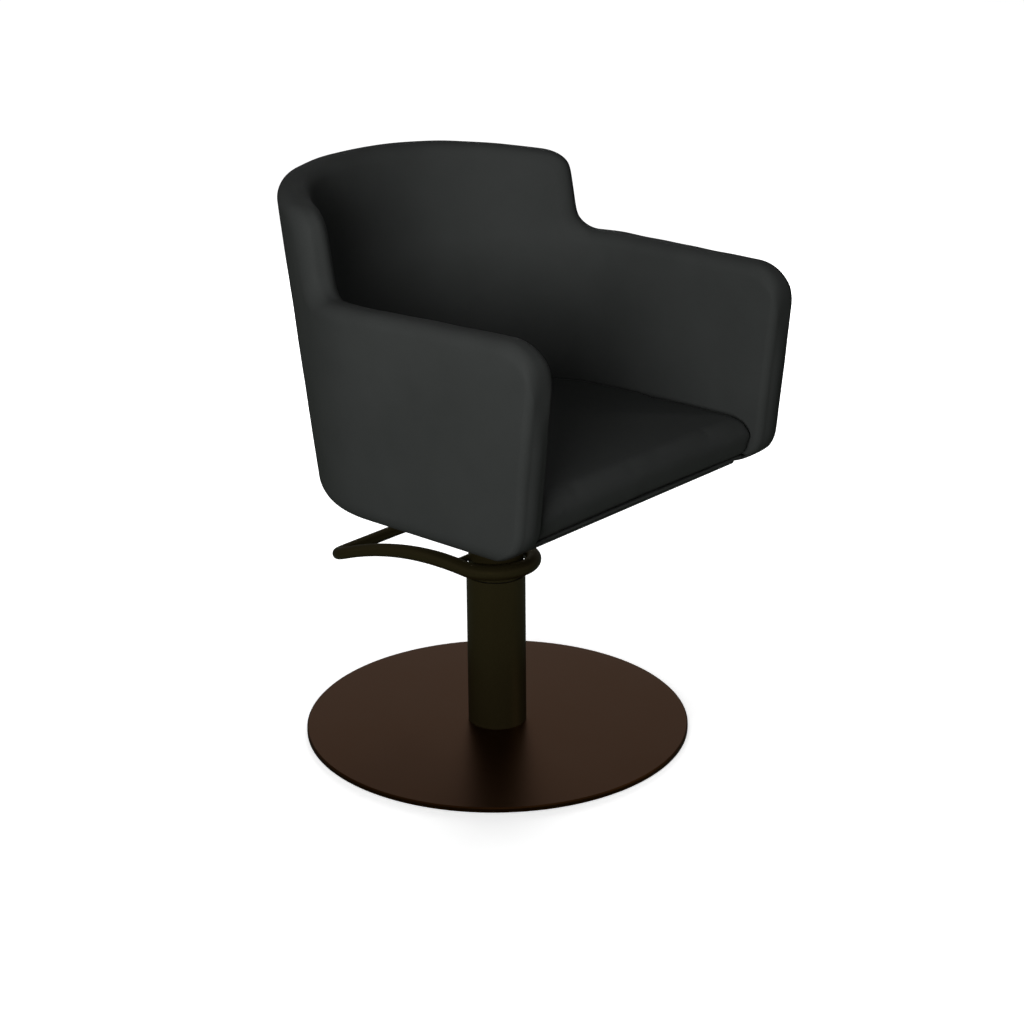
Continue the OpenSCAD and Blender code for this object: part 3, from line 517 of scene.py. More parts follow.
# Upholstery
@dataclass
class TubPlan:
    """The tub's plan, lean and rim, as the frame has them, in metres."""

    underside: float = 0.444
    height: float = 0.476
    half_width: float = 0.314
    arm_front: float = 0.320
    back: float = 0.230
    arm_end: float = -0.010
    squareness: float = 2.0
    wall: float = 0.052
    arm_height: float = 0.332
    arm_wing_height: float = 0.331
    arm_top: float = 0.062
    edge: float = 0.012
    wing: float = 0.040
    wing_tilt: float = 83.0
    wing_foot: float = 0.034
    wing_top: float = 0.031
    drop_share: float = 0.9
    side_drop: float = 0.028
    recline: float = 0.186
    rake: float = 0.100
    arm_lean: float = 0.004
    side_lean: float = -0.052
    rake_share: float = 0.67
    back_power: float = 1.45
    side_power: float = 2.5
    toe_depth: float = 0.052
    toe_height: float = 0.050
    toe_share: float = 0.4
    foot_steps: int = 8
    top_steps: int = 10
    profile: tuple[np.ndarray, np.ndarray] = field(init=False)

    def __post_init__(self) -> None:
        """Works out the wing's side profile: places behind the axis, and shares of its rise."""
        tilt = math.radians(self.wing_tilt)
        rise = self.height - self.drop_share * self.side_drop - self.arm_wing_height
        turns = self.wing_foot + self.wing_top
        slant = (rise - turns * (1 - math.cos(tilt))) / math.sin(tilt)
        run = turns * math.sin(tilt) + slant * math.cos(tilt)
        foot = np.linspace(0, tilt, self.foot_steps)
        top = np.linspace(tilt, 0, self.top_steps)
        y = [self.wing_foot * np.sin(foot), run - self.wing_top * np.sin(top)]
        up = [self.wing_foot * (1 - np.cos(foot)), rise - self.wing_top * (1 - np.cos(top))]
        self.profile = (self.wing + np.concatenate(y), np.concatenate(up) / rise)

    def back_angle(self, y: np.ndarray) -> np.ndarray:
        """The plan's angle at distances behind the column's axis."""
        share = np.clip((np.asarray(y) - self.arm_end) / (self.back - self.arm_end), 0, 1)
        return np.arcsin(share ** (self.squareness / 2))

    def back_place(self, angle: np.ndarray) -> tuple[np.ndarray, np.ndarray]:
        """Places and inward normals of the round back on the side x < 0.

        Args:
            angle: Plan angles, from 0 at the arm's end to a right angle at the middle.

        Returns:
            Places and unit normals, one row each.
        """
        depth = self.back - self.arm_end
        power = 2 / self.squareness
        x = self.half_width * np.cos(angle) ** power
        y = depth * np.sin(angle) ** power
        nx = (x / self.half_width) ** (self.squareness - 1) / self.half_width
        ny = (y / depth) ** (self.squareness - 1) / depth
        size = np.hypot(nx, ny)
        return np.stack([-x, self.arm_end + y], -1), np.stack([nx / size, -ny / size], -1)

    def drift(self, place: np.ndarray) -> np.ndarray:
        """How far a section moves sideways for each metre of height."""
        x, y = place[:, 0], place[:, 1]
        ahead = y + self.arm_front
        back = smooth((y - self.arm_end) / (self.back - self.arm_end)) ** self.back_power
        front = 1 - smooth(ahead / (self.rake_share * self.arm_front))
        turn = smooth(ahead / (self.arm_front + self.wing))
        lean = self.arm_lean + (self.side_lean - self.arm_lean) * turn
        return np.stack([-lean * x / self.half_width, self.recline * back - self.rake * front], -1)

    def toe(self, y: np.ndarray, up: np.ndarray) -> np.ndarray:
        """How far a section stands back at a height, where the fronts turn under."""
        near = 1 - smooth((y + self.arm_front) / (self.toe_share * self.arm_front))
        return self.toe_depth * near * np.maximum(1 - up / self.toe_height, 0) ** 2

    def rim(self, place: np.ndarray, inset: float, below: np.ndarray) -> np.ndarray:
        """Height above the underside of the wall's top.

        Args:
            place: Places of the sections.
            inset: How far the layer lies inside the outer face.
            below: How far a point lies below the top, which sets the wings' fronts back.

        Returns:
            The heights.
        """
        x, y = place[:, 0], place[:, 1]
        ahead = y + self.arm_front
        along = np.minimum(ahead / (self.wing + self.arm_front), 1)
        arm = self.arm_height + (self.arm_wing_height - self.arm_height) * along
        back = self.height - self.side_drop * (np.abs(x) / self.half_width) ** self.side_power
        radius = self.arm_top - inset
        short = np.clip(self.arm_top - ahead, 0, radius)
        corner = radius - np.sqrt(radius**2 - short**2)
        return arm + (back - arm) * np.interp(y - inset - below, *self.profile) - corner


@dataclass
class Stations:
    """Sections along the tub, from one arm's front to the other's."""

    place: np.ndarray
    normal: np.ndarray
    more: np.ndarray


@dataclass
class TubUpholstery:
    """The cover drawn over the foam of the back and arms."""

    palette: Palette
    plan: TubPlan
    rim_radius: float = 0.022
    bottom_radius: float = 0.032
    swell: float = 0.0015
    wrap: float = 0.049
    foam_inner: float = 0.0178
    foam_under: float = 0.007
    foam_bend: float = 0.003
    board_top: float = 0.0226
    front_crown: float = 0.003
    crown_foot: float = 0.05
    crown_head: float = 0.09
    front_cols: int = 5
    ripple: float = 0.0004
    ripple_fade: float = 0.05
    corner_steps: int = 14
    arm_steps: int = 24
    wing_from_steps: int = 6
    wing_steps: int = 44
    back_steps: int = 30
    rim_steps: int = 11
    face_steps: int = 16

    def stations(self, inset: float) -> Stations:
        """Lays out the sections of a layer that lies inset inside the outer face."""
        p = self.plan
        radius = max(p.edge - inset, LEAST_RADIUS)
        angle = np.radians(QUARTER_TURN)
        start = inset - p.arm_front
        turn = np.radians(np.linspace(0, 90, self.corner_steps))[1:]
        corner = start + radius + (p.arm_top - radius) * (1 - np.cos(turn))
        arm = np.linspace(corner[-1], p.arm_end, self.arm_steps)[1:]
        y = np.concatenate([start + radius * (1 - np.sin(angle)), corner, arm])
        side = np.stack([np.full_like(y, -p.half_width), y], -1)
        more = np.concatenate([radius * (1 - np.cos(angle)), np.zeros(len(corner) + len(arm))])
        foot, head = p.profile[0][0], p.profile[0][-1] + self.rim_radius
        wing = p.back_angle(np.linspace(foot, head, self.wing_steps))
        before = np.linspace(0, wing[0], self.wing_from_steps)[1:-1]
        behind = np.linspace(wing[-1], math.pi / 2, self.back_steps)[1:]
        angles = np.concatenate([before, wing, behind])
        at, n = p.back_place(angles)
        place = np.concatenate([side, at])
        normal = np.concatenate([np.tile([1.0, 0.0], (len(side), 1)), n])
        more = np.concatenate([more, np.zeros(len(angles))])
        mirror = np.array([-1.0, 1.0])
        return Stations(
            np.concatenate([place, place[-2::-1] * mirror]),
            np.concatenate([normal, normal[-2::-1] * mirror]),
            np.concatenate([more, more[-2::-1]]),
        )

    def outline(
        self, s: Stations, side: float, under: float, bend: float
    ) -> tuple[np.ndarray, np.ndarray]:
        """The section's outline at every station.

        Args:
            s: The sections.
            side: How far the layer lies inside the outer face.
            under: How far it lies above the underside.
            bend: Radius of its bottom edge.

        Returns:
            Distances in from the outer face, and heights, each as stations by points.
        """
        wall = self.plan.wall
        dx, low = side + s.more, under + s.more
        r = np.maximum(bend - s.more, LEAST_RADIUS)
        swell = self.swell * (1 - s.more / self.plan.edge)
        top_r = np.maximum(self.rim_radius - dx, LEAST_RADIUS)

        def rim(angle: float) -> tuple[np.ndarray, np.ndarray]:
            """How far in, and how high, the rounded rim lies at an angle of its turn."""
            into, down = top_r * (1 - math.cos(angle)), top_r * (1 - math.sin(angle))
            return dx + into, self.plan.rim(s.place, side, down) - dx - down

        turns = np.radians(np.linspace(0, 90, self.rim_steps))
        foot, head = low + r, rim(0.0)[1]
        faces = np.linspace(0, 1, self.face_steps)[1:-1]
        rows: list[tuple[np.ndarray, np.ndarray]] = []
        rows.append((np.minimum(self.wrap, wall - dx - LEAST_RADIUS), low))
        bends = np.radians(QUARTER_TURN)
        for a in bends:
            rows.append((dx + r - r * math.cos(a), low + r - r * math.sin(a)))
        for t in faces:
            rows.append((dx - swell * (1 - (2 * t - 1) ** 2), foot + (head - foot) * t))
        rows += [rim(a) for a in turns]
        rows += [(wall - across, up) for across, up in (rim(a) for a in turns[::-1])]
        for t in faces[::-1]:
            rows.append((wall - dx + swell * (1 - (2 * t - 1) ** 2), foot + (head - foot) * t))
        for t in np.linspace(1, 0, len(bends) + 1):
            rows.append((wall - dx, self.board_top + (foot - self.board_top) * t))
        return np.stack([a for a, _ in rows], -1), np.stack([z for _, z in rows], -1)

    def surface(self, s: Stations, across: np.ndarray, up: np.ndarray) -> np.ndarray:
        """Turns outlines into points, as stations by points by three."""
        d = self.plan.drift(s.place)
        xy = (
            s.place[:, None, :]
            + s.normal[:, None, :] * across[..., None]
            + d[:, None, :] * up[..., None]
        )
        xy[..., 1] += self.plan.toe(s.place[:, 1:2], up)
        return np.concatenate([xy, (self.plan.underside + up)[..., None]], -1)

    def soften(self, grid: np.ndarray) -> np.ndarray:
        """Gives the surface the slight unevenness of foam under a drawn cover.

        Args:
            grid: Points of the outer surface, as stations by points by three.

        Returns:
            The points, moved along their normals.
        """
        n = np.cross(np.gradient(grid, axis=0), np.gradient(grid, axis=1))
        n /= np.linalg.norm(n, axis=-1, keepdims=True) + 1e-12
        x, y, z = (grid[..., i] for i in range(3))
        # Waves 7 to 12 cm long, which cross one another so that none shows as a ridge
        wave = (
            np.sin(53 * x + 31 * z + 1.1) * np.sin(47 * y - 23 * z + 0.4)
            + 0.6 * np.sin(91 * z - 37 * x + 2.0) * np.sin(83 * y + 29 * x)
        )
        fade = np.clip((z - self.plan.underside - self.bottom_radius) / self.ripple_fade, 0, 1)
        return grid + n * (self.ripple * wave * fade)[..., None]

    def build(self) -> bpy.types.Object:
        """Builds the padded wall and dresses it."""
        s = self.stations(0.0)
        outer = self.soften(self.surface(s, *self.outline(s, 0.0, 0.0, self.bottom_radius)))
        s_in = self.stations(self.foam_inner)
        lining = self.outline(s_in, self.foam_inner, self.foam_under, self.foam_bend)
        inner = self.surface(s_in, *lining)
        rows, cols = outer.shape[:2]
        count, half = rows * cols, cols // 2
        faces: list[tuple[int, ...]] = list(grid_faces(rows, cols))
        faces += [tuple(count + v for v in f) for f in grid_faces(rows, cols)]
        for i in range(rows - 1):
            a, b = i * cols, (i + 1) * cols
            faces.append((a, b, count + b, count + a))
            faces.append((b - 1, b + cols - 1, count + b + cols - 1, count + b - 1))
        points = np.concatenate([outer.reshape(-1, 3), inner.reshape(-1, 3)])
        shares = np.linspace(0, 1, self.front_cols + 2)[1:-1]
        inner_row = self.front_cols * half
        for first, crown in (
            (0, self.front_crown),
            ((rows - 1) * cols, self.front_crown),
            (count, 0.0),
            (count + (rows - 1) * cols, 0.0),
        ):
            # Columns of points across the arm's front face give it a crown.
            left = first + np.arange(half)
            right = first + cols - 1 - np.arange(half)
            z = points[left, 2]
            upright = smooth(np.minimum((z - z[0]) / self.crown_foot, (z[-1] - z) / self.crown_head))
            columns = [left]
            for share in shares:
                column = points[left] + (points[right] - points[left]) * share
                column[:, 1] -= crown * (1 - (2 * share - 1) ** 2) * upright
                columns.append(len(points) + np.arange(half))
                points = np.concatenate([points, column])
            columns.append(right)
            for one, two in zip(columns[:-1], columns[1:]):
                faces += [
                    (int(one[j]), int(one[j + 1]), int(two[j + 1]), int(two[j]))
                    for j in range(half - 1)
                ]
            faces.append(tuple(int(c[-1]) for c in columns))
        for i in (0, 1):
            # The lower ends of the front columns, outside and inside, close the arm's foot.
            a, b = i * (rows - 1) * cols, i * (rows - 1) * cols + cols - 1
            out = 2 * count + i * inner_row + np.arange(self.front_cols) * half
            row = [a, *out.tolist(), b]
            lining_row = [count + a, *(out + 2 * inner_row).tolist(), count + b]
            for j in range(len(row) - 1):
                faces.append((row[j], row[j + 1], lining_row[j + 1], lining_row[j]))
        obj = make_object("tub_upholstery", points, faces)
        open_edges = count_open_edges(obj)
        LOG.info("tub upholstery: %d points, %d open edges", len(points), open_edges)
        apply_modifier(obj, "SUBSURF", levels=1, render_levels=1)
        self.palette.dress(obj, LEATHERCLOTH)
        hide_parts("tub_cover", "tub_foam")
        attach(obj, "seat")
        return obj


@dataclass
class SeatCushion:
    """The loose seat cushion: foam in a cover with a rolled front edge."""

    palette: Palette
    plan: TubPlan
    back_set: float = 0.006
    gap: float = 0.003
    low: float = 0.0226
    edge_height: float = 0.082
    crown: float = 0.014
    front_roll: float = 0.025
    side_roll: float = 0.010
    lower_roll: float = 0.009
    front_draw: float = 0.004
    side_draw: float = 0.0015
    front_steps: int = 48
    under_insets: tuple[float, ...] = (0.12, 0.04)
    dome_shares: tuple[float, ...] = (0.08, 0.2, 0.35, 0.5, 0.65, 0.8, 0.92)
    arm_steps: int = 24
    back_steps: int = 40
    voxel: float = 0.006
    pressure: float = 4.0
    filling_frames: int = 20
    side_give: float = 0.0015
    front_give: float = 0.005
    top_give: float = 0.007
    front_zone: float = 0.05

    def ring(self, side: float, side_up: float, front: float, front_up: float) -> np.ndarray:
        """A ring round the cushion.

        Args:
            side: Inset at the walls.
            side_up: Height at the walls.
            front: Inset at the front edge.
            front_up: Height at the front edge.

        Returns:
            The ring's points, one row each.
        """
        p = self.plan
        edge = self.back_set - p.arm_front
        arm_y = np.linspace(edge + self.front_roll + self.side_roll, p.arm_end, self.arm_steps)
        at, n = p.back_place(np.linspace(0, math.pi / 2, self.back_steps)[1:])
        arm = np.stack([np.full_like(arm_y, -p.half_width), arm_y], -1)
        place = np.concatenate([[(-p.half_width, edge)], arm, at])
        normal = np.concatenate([np.tile([1.0, 0.0], (len(arm) + 1, 1)), n])
        up = np.full(len(place), side_up)
        up[0] = front_up
        draw = self.side_draw * np.sin(np.linspace(0, math.pi, len(place)))
        inset = p.wall + self.gap + side + draw
        xy = place + normal * inset[:, None] + p.drift(place) * up[:, None]
        xy[:, 1] += p.toe(place[:, 1], up)
        xy[0, 1] = edge + front + p.toe(np.array([edge]), np.array([front_up]))[0]
        half = np.concatenate([xy, up[:, None]], -1)
        far = half[-2::-1] * np.array([-1.0, 1.0, 1.0])
        t = np.linspace(-1, 1, self.front_steps + 1)[1:-1]
        drawn = xy[0, 1] + self.front_draw * (1 - t**2)
        line = np.stack([xy[0, 0] * t, drawn, np.full_like(t, front_up)], -1)
        return np.concatenate([half, far, line])

    def shape(self) -> bpy.types.Object:
        """Builds the closed form before it is filled."""
        rings = [self.ring(d, self.low, d, self.low) for d in self.under_insets]
        for a in np.radians([90, 60, 30, 0]):
            d = self.lower_roll * (1 - math.cos(a))
            z = self.low + self.lower_roll * (1 - math.sin(a))
            rings.append(self.ring(d, z, d, z))
        for a in np.radians([0, 15, 30, 45, 60, 75, 90]):
            c, q = 1 - math.cos(a), 1 - math.sin(a)
            top = self.edge_height
            side, front = self.side_roll, self.front_roll
            rings.append(self.ring(side * c, top - side * q, front * c, top - front * q))
        middle = (self.back_set - self.plan.arm_front + self.plan.back) / 2
        last = rings[-1]
        for t in self.dome_shares:
            ring = last.copy()
            ring[:, :2] += (np.array([0.0, middle]) - ring[:, :2]) * t
            ring[:, 2] += self.crown * (1 - (1 - t) ** 2)
            rings.append(ring)
        cols = len(last)
        points = np.concatenate(rings + [np.array([[0.0, middle, self.edge_height + self.crown]])])
        points = np.vstack([points, [0.0, middle, self.low]])
        points[:, 2] += self.plan.underside
        faces: list[tuple[int, ...]] = list(grid_faces(len(rings), cols, closed=True))
        tail, top, bottom = (len(rings) - 1) * cols, len(points) - 2, len(points) - 1
        faces += [(tail + j, tail + (j + 1) % cols, top) for j in range(cols)]
        faces += [((j + 1) % cols, j, bottom) for j in range(cols)]
        return make_object("seat_upholstery", points, faces)

    def fill(self, obj: bpy.types.Object) -> None:
        """Swells the cushion by a short cloth simulation, held off its walls.

        Args:
            obj: The closed form.
        """
        apply_modifier(obj, "REMESH", mode="VOXEL", voxel_size=self.voxel)
        start = coords(obj)
        mod = obj.modifiers.new("cloth", "CLOTH")
        cloth = mod.settings
        cloth.use_pressure = True
        cloth.uniform_pressure_force = self.pressure
        cloth.quality = 6
        cloth.mass = 0.3
        cloth.tension_stiffness = 12.0
        cloth.compression_stiffness = 12.0
        cloth.bending_stiffness = 2.0
        cloth.effector_weights.gravity = 0.0
        mod.collision_settings.use_self_collision = False
        scene = bpy.context.scene
        for frame in range(1, self.filling_frames + 1):
            scene.frame_set(frame)
        depsgraph = bpy.context.evaluated_depsgraph_get()
        swollen = bpy.data.meshes.new_from_object(obj.evaluated_get(depsgraph))
        flat = np.zeros(len(swollen.vertices) * 3)
        swollen.vertices.foreach_get("co", flat)
        obj.modifiers.remove(mod)
        bpy.data.meshes.remove(swollen)
        scene.frame_set(1)
        # The walls and the board hold the sides and the underside; the top is free.
        move = flat.reshape(-1, 3) - start
        front = start[:, 1] < self.back_set - self.plan.arm_front + self.front_zone
        forward = np.where(front, -self.front_give, -self.side_give)
        move[:, 0] = np.clip(move[:, 0], -self.side_give, self.side_give)
        move[:, 1] = np.clip(move[:, 1], forward, self.side_give)
        move[:, 2] = np.clip(move[:, 2], 0.0, self.top_give)
        set_coords(obj, start + move)
        LOG.info("seat cushion: filled, largest move %.1f mm", np.abs(move).max() / MM)
        apply_modifier(obj, "SMOOTH", factor=0.5, iterations=4)
        apply_modifier(obj, "SUBSURF", levels=1, render_levels=1)

    def build(self) -> bpy.types.Object:
        """Builds the cushion and dresses it."""
        obj = self.shape()
        self.fill(obj)
        obj.data.shade_smooth()
        self.palette.dress(obj, LEATHERCLOTH)
        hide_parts("seat_cover", "seat_foam")
        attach(obj, "seat")
        return obj


@dataclass
class FrontRail:
    """The padded strip under the cushion's front, drawn over the seat board's edge."""

    palette: Palette
    plan: TubPlan
    back_set: float = 0.006
    low: float = 0.002
    top: float = 0.0222
    corner: float = 0.006
    back: float = -0.2633
    end_gap: float = 0.0009
    top_roll: float = 0.002
    back_lip: float = 0.003
    steps: int = 60
    face_steps: int = 9

    def build(self) -> bpy.types.Object:
        """Builds the rail and dresses it."""
        p = self.plan
        edge = self.back_set - p.arm_front
        foot, head = self.low + self.corner, self.top - self.top_roll
        up = np.linspace(foot, head, self.face_steps)
        front = np.stack([edge + p.toe(np.full_like(up, edge), up), up], -1)
        a = np.radians(np.linspace(0, 90, 6))[1:]
        turn = np.array([front[0, 0] + self.corner, foot])
        under = turn - self.corner * np.stack([np.cos(a), np.sin(a)], -1)
        roll = front[-1] + self.top_roll * np.stack([1 - np.cos(a), np.sin(a)], -1)
        heights = (self.top, self.low + self.back_lip, self.low)
        back = np.array([[self.back, z] for z in heights])
        loop = np.concatenate([under[::-1], front, roll, back])
        x = np.linspace(-1, 1, self.steps + 1)
        half = p.half_width - p.wall - self.end_gap
        points = np.array([[t * half, y, p.underside + z] for t in x for y, z in loop])
        cols = len(loop)
        faces: list[tuple[int, ...]] = list(grid_faces(len(x), cols, closed=True))
        last = len(points) - cols
        faces += [tuple(range(cols)), tuple(range(last + cols - 1, last - 1, -1))]
        obj = make_object("front_rail", points, faces)
        self.palette.dress(obj, LEATHERCLOTH)
        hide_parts("front_trim")
        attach(obj, "seat")
        return obj


# Metalwork
@dataclass
class FootLever:
    """The bent bar that pumps the seat up."""

    palette: Palette
    loop_radius: float = 0.0615
    bar: float = 0.025
    tip: float = 0.020
    reach: float = 0.286
    half: float = 0.100
    corner: float = 0.040
    pivot: float = 0.290
    rise: float = 0.009
    crest: float = 0.088
    front_rise: float = 0.003
    taper_from: float = 0.2
    taper_run: float = 0.6
    sides: int = 28
    loop_steps: int = 20
    arm_steps: int = 30
    corner_steps: int = 12
    cross_steps: int = 6

    def height(self, y: float) -> float:
        """Height of the bar's centre line."""
        if y >= 0:
            return self.pivot + self.rise * (1 - (1 - y / self.crest) ** 2)
        return self.pivot + self.front_rise * (1 - (1 + y / self.loop_radius) ** 2)

    def radius(self, y: float) -> float:
        """Radius of the bar, which tapers towards the cross bar."""
        t = min(max((y / self.reach - self.taper_from) / self.taper_run, 0), 1)
        return (self.bar + (self.tip - self.bar) * t) / 2

    def centre_line(self) -> np.ndarray:
        """The closed centre line, one row a point."""
        corner_y = self.reach - self.corner
        half: list[tuple[float, float]] = []
        for i in range(self.loop_steps):
            a = math.pi / 2 * i / self.loop_steps
            half.append((-self.loop_radius * math.sin(a), -self.loop_radius * math.cos(a)))
        for i in range(self.arm_steps):
            y = corner_y * i / self.arm_steps
            x = self.loop_radius + (self.half - self.loop_radius) * i / self.arm_steps
            half.append((-x, y))
        for i in range(self.corner_steps + 1):
            a = math.pi / 2 * i / self.corner_steps
            half.append(
                (-self.half + self.corner * (1 - math.cos(a)), corner_y + self.corner * math.sin(a))
            )
        for i in range(1, self.cross_steps + 1):
            half.append((-(self.half - self.corner) * (1 - i / self.cross_steps), self.reach))
        line = half + [(-x, y) for x, y in half[-2:0:-1]]
        flat = np.array([(x, y, self.height(y)) for x, y in line])
        # The bar was bent, so its corners ease in: average each point with its neighbours.
        for _ in range(2):
            flat = (np.roll(flat, 1, 0) + 2 * flat + np.roll(flat, -1, 0)) / 4
        return flat

    def build(self) -> bpy.types.Object:
        """Sweeps the bar and dresses it."""
        line = self.centre_line()
        along = np.roll(line, -1, 0) - np.roll(line, 1, 0)
        along /= np.linalg.norm(along, axis=1, keepdims=True)
        side = np.cross(along, [0.0, 0.0, 1.0])
        side /= np.linalg.norm(side, axis=1, keepdims=True)
        up = np.cross(side, along)
        angle = np.linspace(0, math.tau, self.sides, endpoint=False)
        r = np.array([self.radius(y) for y in line[:, 1]])
        points = (
            line[:, None]
            + (side[:, None] * np.cos(angle)[None, :, None] + up[:, None] * np.sin(angle)[None, :, None])
            * r[:, None, None]
        )
        rows = len(line)
        faces = grid_faces(rows + 1, self.sides, closed=True)
        count = rows * self.sides
        faces = [tuple(v % count for v in f) for f in faces]
        obj = make_object("foot_lever_bar", points.reshape(-1, 3), faces)
        # The bar wears the darker copy of the lacquer, whose darkness is painted shade.
        self.palette.dress(obj, BRONZE_LACQUER_SHADED)
        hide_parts("foot_lever")
        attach(obj, "lever")
        return obj


CAD_FINISHES: dict[str, Finish] = {
    "floor_pads": MOULDED_RUBBER,
    "column_cap": MOULDED_RUBBER,
    "base_plate": BRONZE_LACQUER,
    "foot_bolts": ZINC_PLATE,
    "foot_block": ZINC_PLATE,
    # Tube, head and lever bars wear the darker copy of the lacquer, whose darkness is painted shade.
    "column_tube": BRONZE_LACQUER_SHADED,
    "thrust_washer": OILED_BRONZE,
    "upper_bush": MOULDED_NYLON,
    "pump_bottom": ZINC_PLATE,
    "pump_body": ZINC_PLATE,
    "tie_rods": ZINC_PLATE,
    "valve_block": ZINC_PLATE,
    "inner_cylinder": ZINC_PLATE,
    "oil_pipe": OILED_BRONZE,
    "plunger_barrel": ZINC_PLATE,
    "pump_head": BRONZE_LACQUER_SHADED,
    "guide_bush": OILED_BRONZE,
    "wiper_seal": MOULDED_RUBBER,
    "pivot_pins": ZINC_PLATE,
    "foot_lever": BRONZE_LACQUER_SHADED,
    "lever_bridge": BRONZE_LACQUER_SHADED,
    "plunger": GROUND_CHROME,
    "plunger_spring": GROUND_CHROME,
    "lift_rod": GROUND_CHROME,
    "lift_piston": ZINC_PLATE,
    "piston_seal": MOULDED_RUBBER,
    "rod_bolt": ZINC_PLATE,
    "seat_flange": ZINC_PLATE,
    "flange_washers": ZINC_PLATE,
    "flange_bolts": ZINC_PLATE,
    "tee_nuts": ZINC_PLATE,
    "seat_board": BIRCH_PLYWOOD,
    "tub_shell": BIRCH_PLYWOOD,
    "shell_screws": ZINC_PLATE,
    "tub_foam": CUT_FOAM,
    "tub_cover": LEATHERCLOTH,
    "seat_foam": CUT_FOAM,
    "seat_cover": LEATHERCLOTH,
    "front_trim": LEATHERCLOTH,
    "closing_panel": EMBOSSED_SHEET,
    "panel_screws": ZINC_PLATE,
}


@dataclass
class Metalwork:
    """The frame's own nodes, which keep their shapes and get their finishes."""

    palette: Palette
    nodes: dict[str, bpy.types.Object]

    def build(self) -> None:
        """Dresses every node of the frame."""
        for name, obj in sorted(self.nodes.items()):
            finish = CAD_FINISHES[name]
            self.palette.dress(obj, finish)
            LOG.info("frame node %s: %s", name, finish.name)


# Studio
@dataclass(frozen=True)
class SoftBox:
    """A square lamp of the studio, in metres and watts.

    A box that isn't mirrored has no image in the lacquer, as behind a polarising sheet. A grid
    on a box makes its beam narrower, in degrees.
    """

    name: str
    place: tuple[float, float, float]
    size: float
    power: float
    mirrored: bool = False
    aim_height: float = 0.6
    beam: float = 180.0

    def build(self, lit: Sequence[bpy.types.Object] = ()) -> None:
        """Hangs the box so that it points at the chair.

        Args:
            lit: The only objects that it lights, or none where it lights everything.
        """
        data = bpy.data.lights.new(self.name, "AREA")
        data.shape = "SQUARE"
        data.size = self.size
        data.energy = self.power
        data.spread = math.radians(self.beam)
        obj = bpy.data.objects.new(self.name, data)
        bpy.context.scene.collection.objects.link(obj)
        obj.location = Vector(self.place)
        obj.visible_glossy = self.mirrored
        aim = Vector((0, 0, self.aim_height)) - obj.location
        obj.rotation_euler = aim.to_track_quat("-Z", "Y").to_euler()
        if lit:
            flagged = bpy.data.collections.new(f"lit_by_{self.name}")
            for one in lit:
                flagged.objects.link(one)
            obj.light_linking.receiver_collection = flagged


# Gives the floor the chair's soft shadow, and is flagged off the chair
FLOOR_BOX = SoftBox("floor_box", (-0.1, -0.15, 3.0), 1.4, 34.0)
# The key stands low on the chair's right, so the seat and the far side fall into shade
KEY_BOX = SoftBox("key_box", (-2.88, -1.5, 1.48), 1.3, 10.0, aim_height=1.0, beam=60.0)
FILL_BOX = SoftBox("fill_box", (2.3, 2.0, 1.4), 1.3, 62.0)
TOP_BOX = SoftBox("top_box", (-0.3, -0.6, 3.2), 1.5, 2.5, mirrored=True)
# What the base plate and the column mirror; flagged off the upholstery
METAL_BOXES = (
    SoftBox("rear_box", (2.1, 1.9, 1.1), 2.2, 3.2, mirrored=True),
    SoftBox("front_box", (1.5, -2.7, 1.1), 1.6, 3.6, mirrored=True),
)


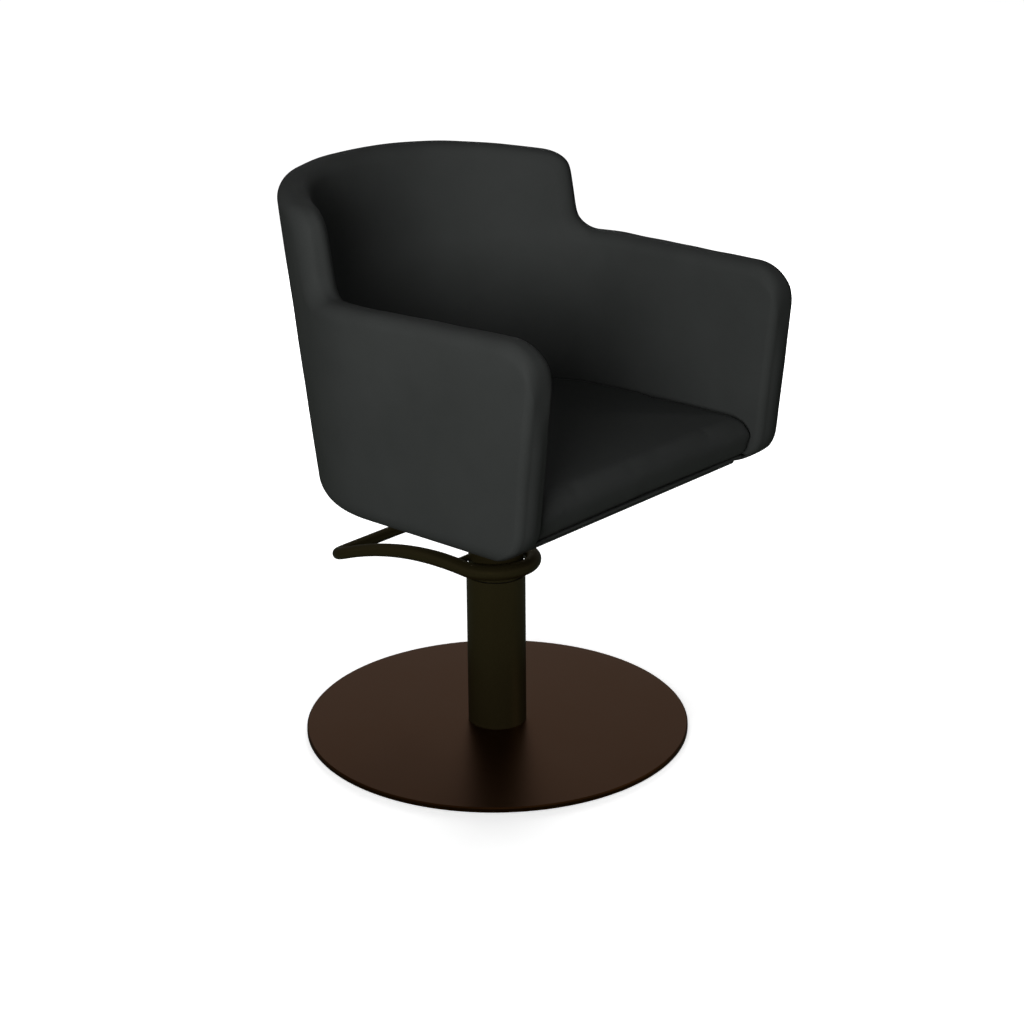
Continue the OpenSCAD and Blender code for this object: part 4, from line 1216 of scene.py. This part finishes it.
@dataclass
class Studio:
    """The pale room, its lamps and the camera at the photograph's angle."""

    azimuth: float = -48.588
    elevation: float = 20.493
    roll: float = -0.481
    distance: float = 3.34308
    focal_px: float = 2105.846
    shift_right: float = 0.0275
    shift_up: float = -0.07215
    aim_height: float = 0.45
    image_px: int = 1024
    sensor_mm: float = 36.0
    surround: float = 0.065
    floor_lift: float = 0.6
    white_from: float = 0.9
    white_to: float = 2.4
    floor_half: float = 9.0
    floor_tone: str = "f4f4f4"
    stage_tone: str = "50564f"
    lacquered: Sequence[bpy.types.Object] = ()

    def camera(self) -> None:
        """Makes the camera."""
        az, el, roll = (math.radians(v) for v in (self.azimuth, self.elevation, self.roll))
        back = Vector((math.sin(az) * math.cos(el), -math.cos(az) * math.cos(el), math.sin(el)))
        right = Vector((math.cos(az), math.sin(az), 0.0))
        up = back.cross(right)
        r = math.cos(roll) * right + math.sin(roll) * up
        u = -math.sin(roll) * right + math.cos(roll) * up
        data = bpy.data.cameras.new("camera")
        data.lens = self.focal_px / self.image_px * self.sensor_mm
        data.sensor_width = self.sensor_mm
        data.clip_end = 50.0
        obj = bpy.data.objects.new("camera", data)
        bpy.context.scene.collection.objects.link(obj)
        place = Vector((0, 0, self.aim_height)) + self.shift_right * r + self.shift_up * u
        place += self.distance * back
        obj.matrix_world = Matrix(
            (
                (r.x, u.x, back.x, place.x),
                (r.y, u.y, back.y, place.y),
                (r.z, u.z, back.z, place.z),
                (0, 0, 0, 1),
            )
        )
        bpy.context.scene.camera = obj

    def floor(self) -> None:
        """Makes the pale floor: white to the camera but for the chair's shadow on it."""
        side = self.floor_half
        points = np.array([(-side, -side, 0), (side, -side, 0), (side, side, 0), (-side, side, 0)])
        obj = make_object("studio_floor", points, [(0, 1, 2, 3)], smooth_shading=False)
        mat = bpy.data.materials.new("pale_floor")
        mat.use_nodes = True
        tree = mat.node_tree
        tree.nodes.clear()
        # The camera sees the floor pale and lifted to white, with the chair's shadow on it. The
        # chair sees it dark, as it would stand on a dark stage.
        seen = add_node(tree, "ShaderNodeLightPath").outputs["Is Camera Ray"]
        tone = add_node(
            tree,
            "ShaderNodeMix",
            {"Factor": seen, 6: linear(self.stage_tone), 7: linear(self.floor_tone)},
            data_type="RGBA",
        ).outputs[2]
        matt = add_node(tree, "ShaderNodeBsdfDiffuse", {"Color": tone})
        place = add_node(tree, "ShaderNodeTexCoord").outputs["Object"]
        away = add_node(
            tree, "ShaderNodeVectorMath", {0: place}, operation="LENGTH"
        ).outputs["Value"]
        level = add_node(
            tree,
            "ShaderNodeMapRange",
            {
                "Value": away,
                "From Min": self.white_from,
                "From Max": self.white_to,
                "To Min": self.floor_lift,
                "To Max": 1.0,
            },
        ).outputs["Result"]
        lift = add_node(
            tree, "ShaderNodeMath", {0: seen, 1: level}, operation="MULTIPLY"
        ).outputs[0]
        glow = add_node(
            tree, "ShaderNodeEmission", {"Color": linear(WHITE), "Strength": lift}
        )
        both = add_node(
            tree, "ShaderNodeAddShader", {0: matt.outputs["BSDF"], 1: glow.outputs["Emission"]}
        )
        add_node(tree, "ShaderNodeOutputMaterial", {"Surface": both.outputs["Shader"]})
        obj.data.materials.append(mat)
        FLOOR_BOX.build([obj])

    def world(self) -> None:
        """Makes the soft surrounding light, which the camera sees as white."""
        world = bpy.data.worlds.new("studio")
        bpy.context.scene.world = world
        world.use_nodes = True
        tree = world.node_tree
        tree.nodes.clear()
        path = add_node(tree, "ShaderNodeLightPath")
        seen = add_node(
            tree,
            "ShaderNodeMath",
            {0: path.outputs["Is Camera Ray"], 1: path.outputs["Is Transmission Ray"]},
            operation="MAXIMUM",
        ).outputs[0]
        soft = add_node(
            tree, "ShaderNodeBackground", {"Color": linear(WHITE), "Strength": self.surround}
        )
        white = add_node(tree, "ShaderNodeBackground", {"Color": linear(WHITE), "Strength": 1.0})
        mix = add_node(
            tree,
            "ShaderNodeMixShader",
            {0: seen, 1: soft.outputs["Background"], 2: white.outputs["Background"]},
        )
        add_node(tree, "ShaderNodeOutputWorld", {"Surface": mix.outputs["Shader"]})

    def build(self) -> None:
        """Builds the room."""
        self.camera()
        self.floor()
        self.world()
        for box in (KEY_BOX, FILL_BOX, TOP_BOX):
            box.build()
        for box in METAL_BOXES:
            box.build(self.lacquered)
        bpy.context.scene.view_settings.view_transform = "Standard"
        LOG.info("studio ready")


def main() -> None:
    """Builds the scene."""
    logging.basicConfig(level=logging.INFO, format="%(name)s: %(message)s")
    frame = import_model()
    palette = Palette()
    nodes = frame["nodes"]
    Metalwork(palette, nodes).build()
    plan = TubPlan()
    for maker in (TubUpholstery(palette, plan), SeatCushion(palette, plan), FrontRail(palette, plan)):
        LOG.info("piece %s", maker.build().name)
    lever = FootLever(palette).build()
    LOG.info("piece %s", lever.name)
    lacquered = [obj for name, obj in nodes.items() if CAD_FINISHES[name].metallic]
    Studio(lacquered=lacquered).build()


if __name__ == "__main__":
    main()
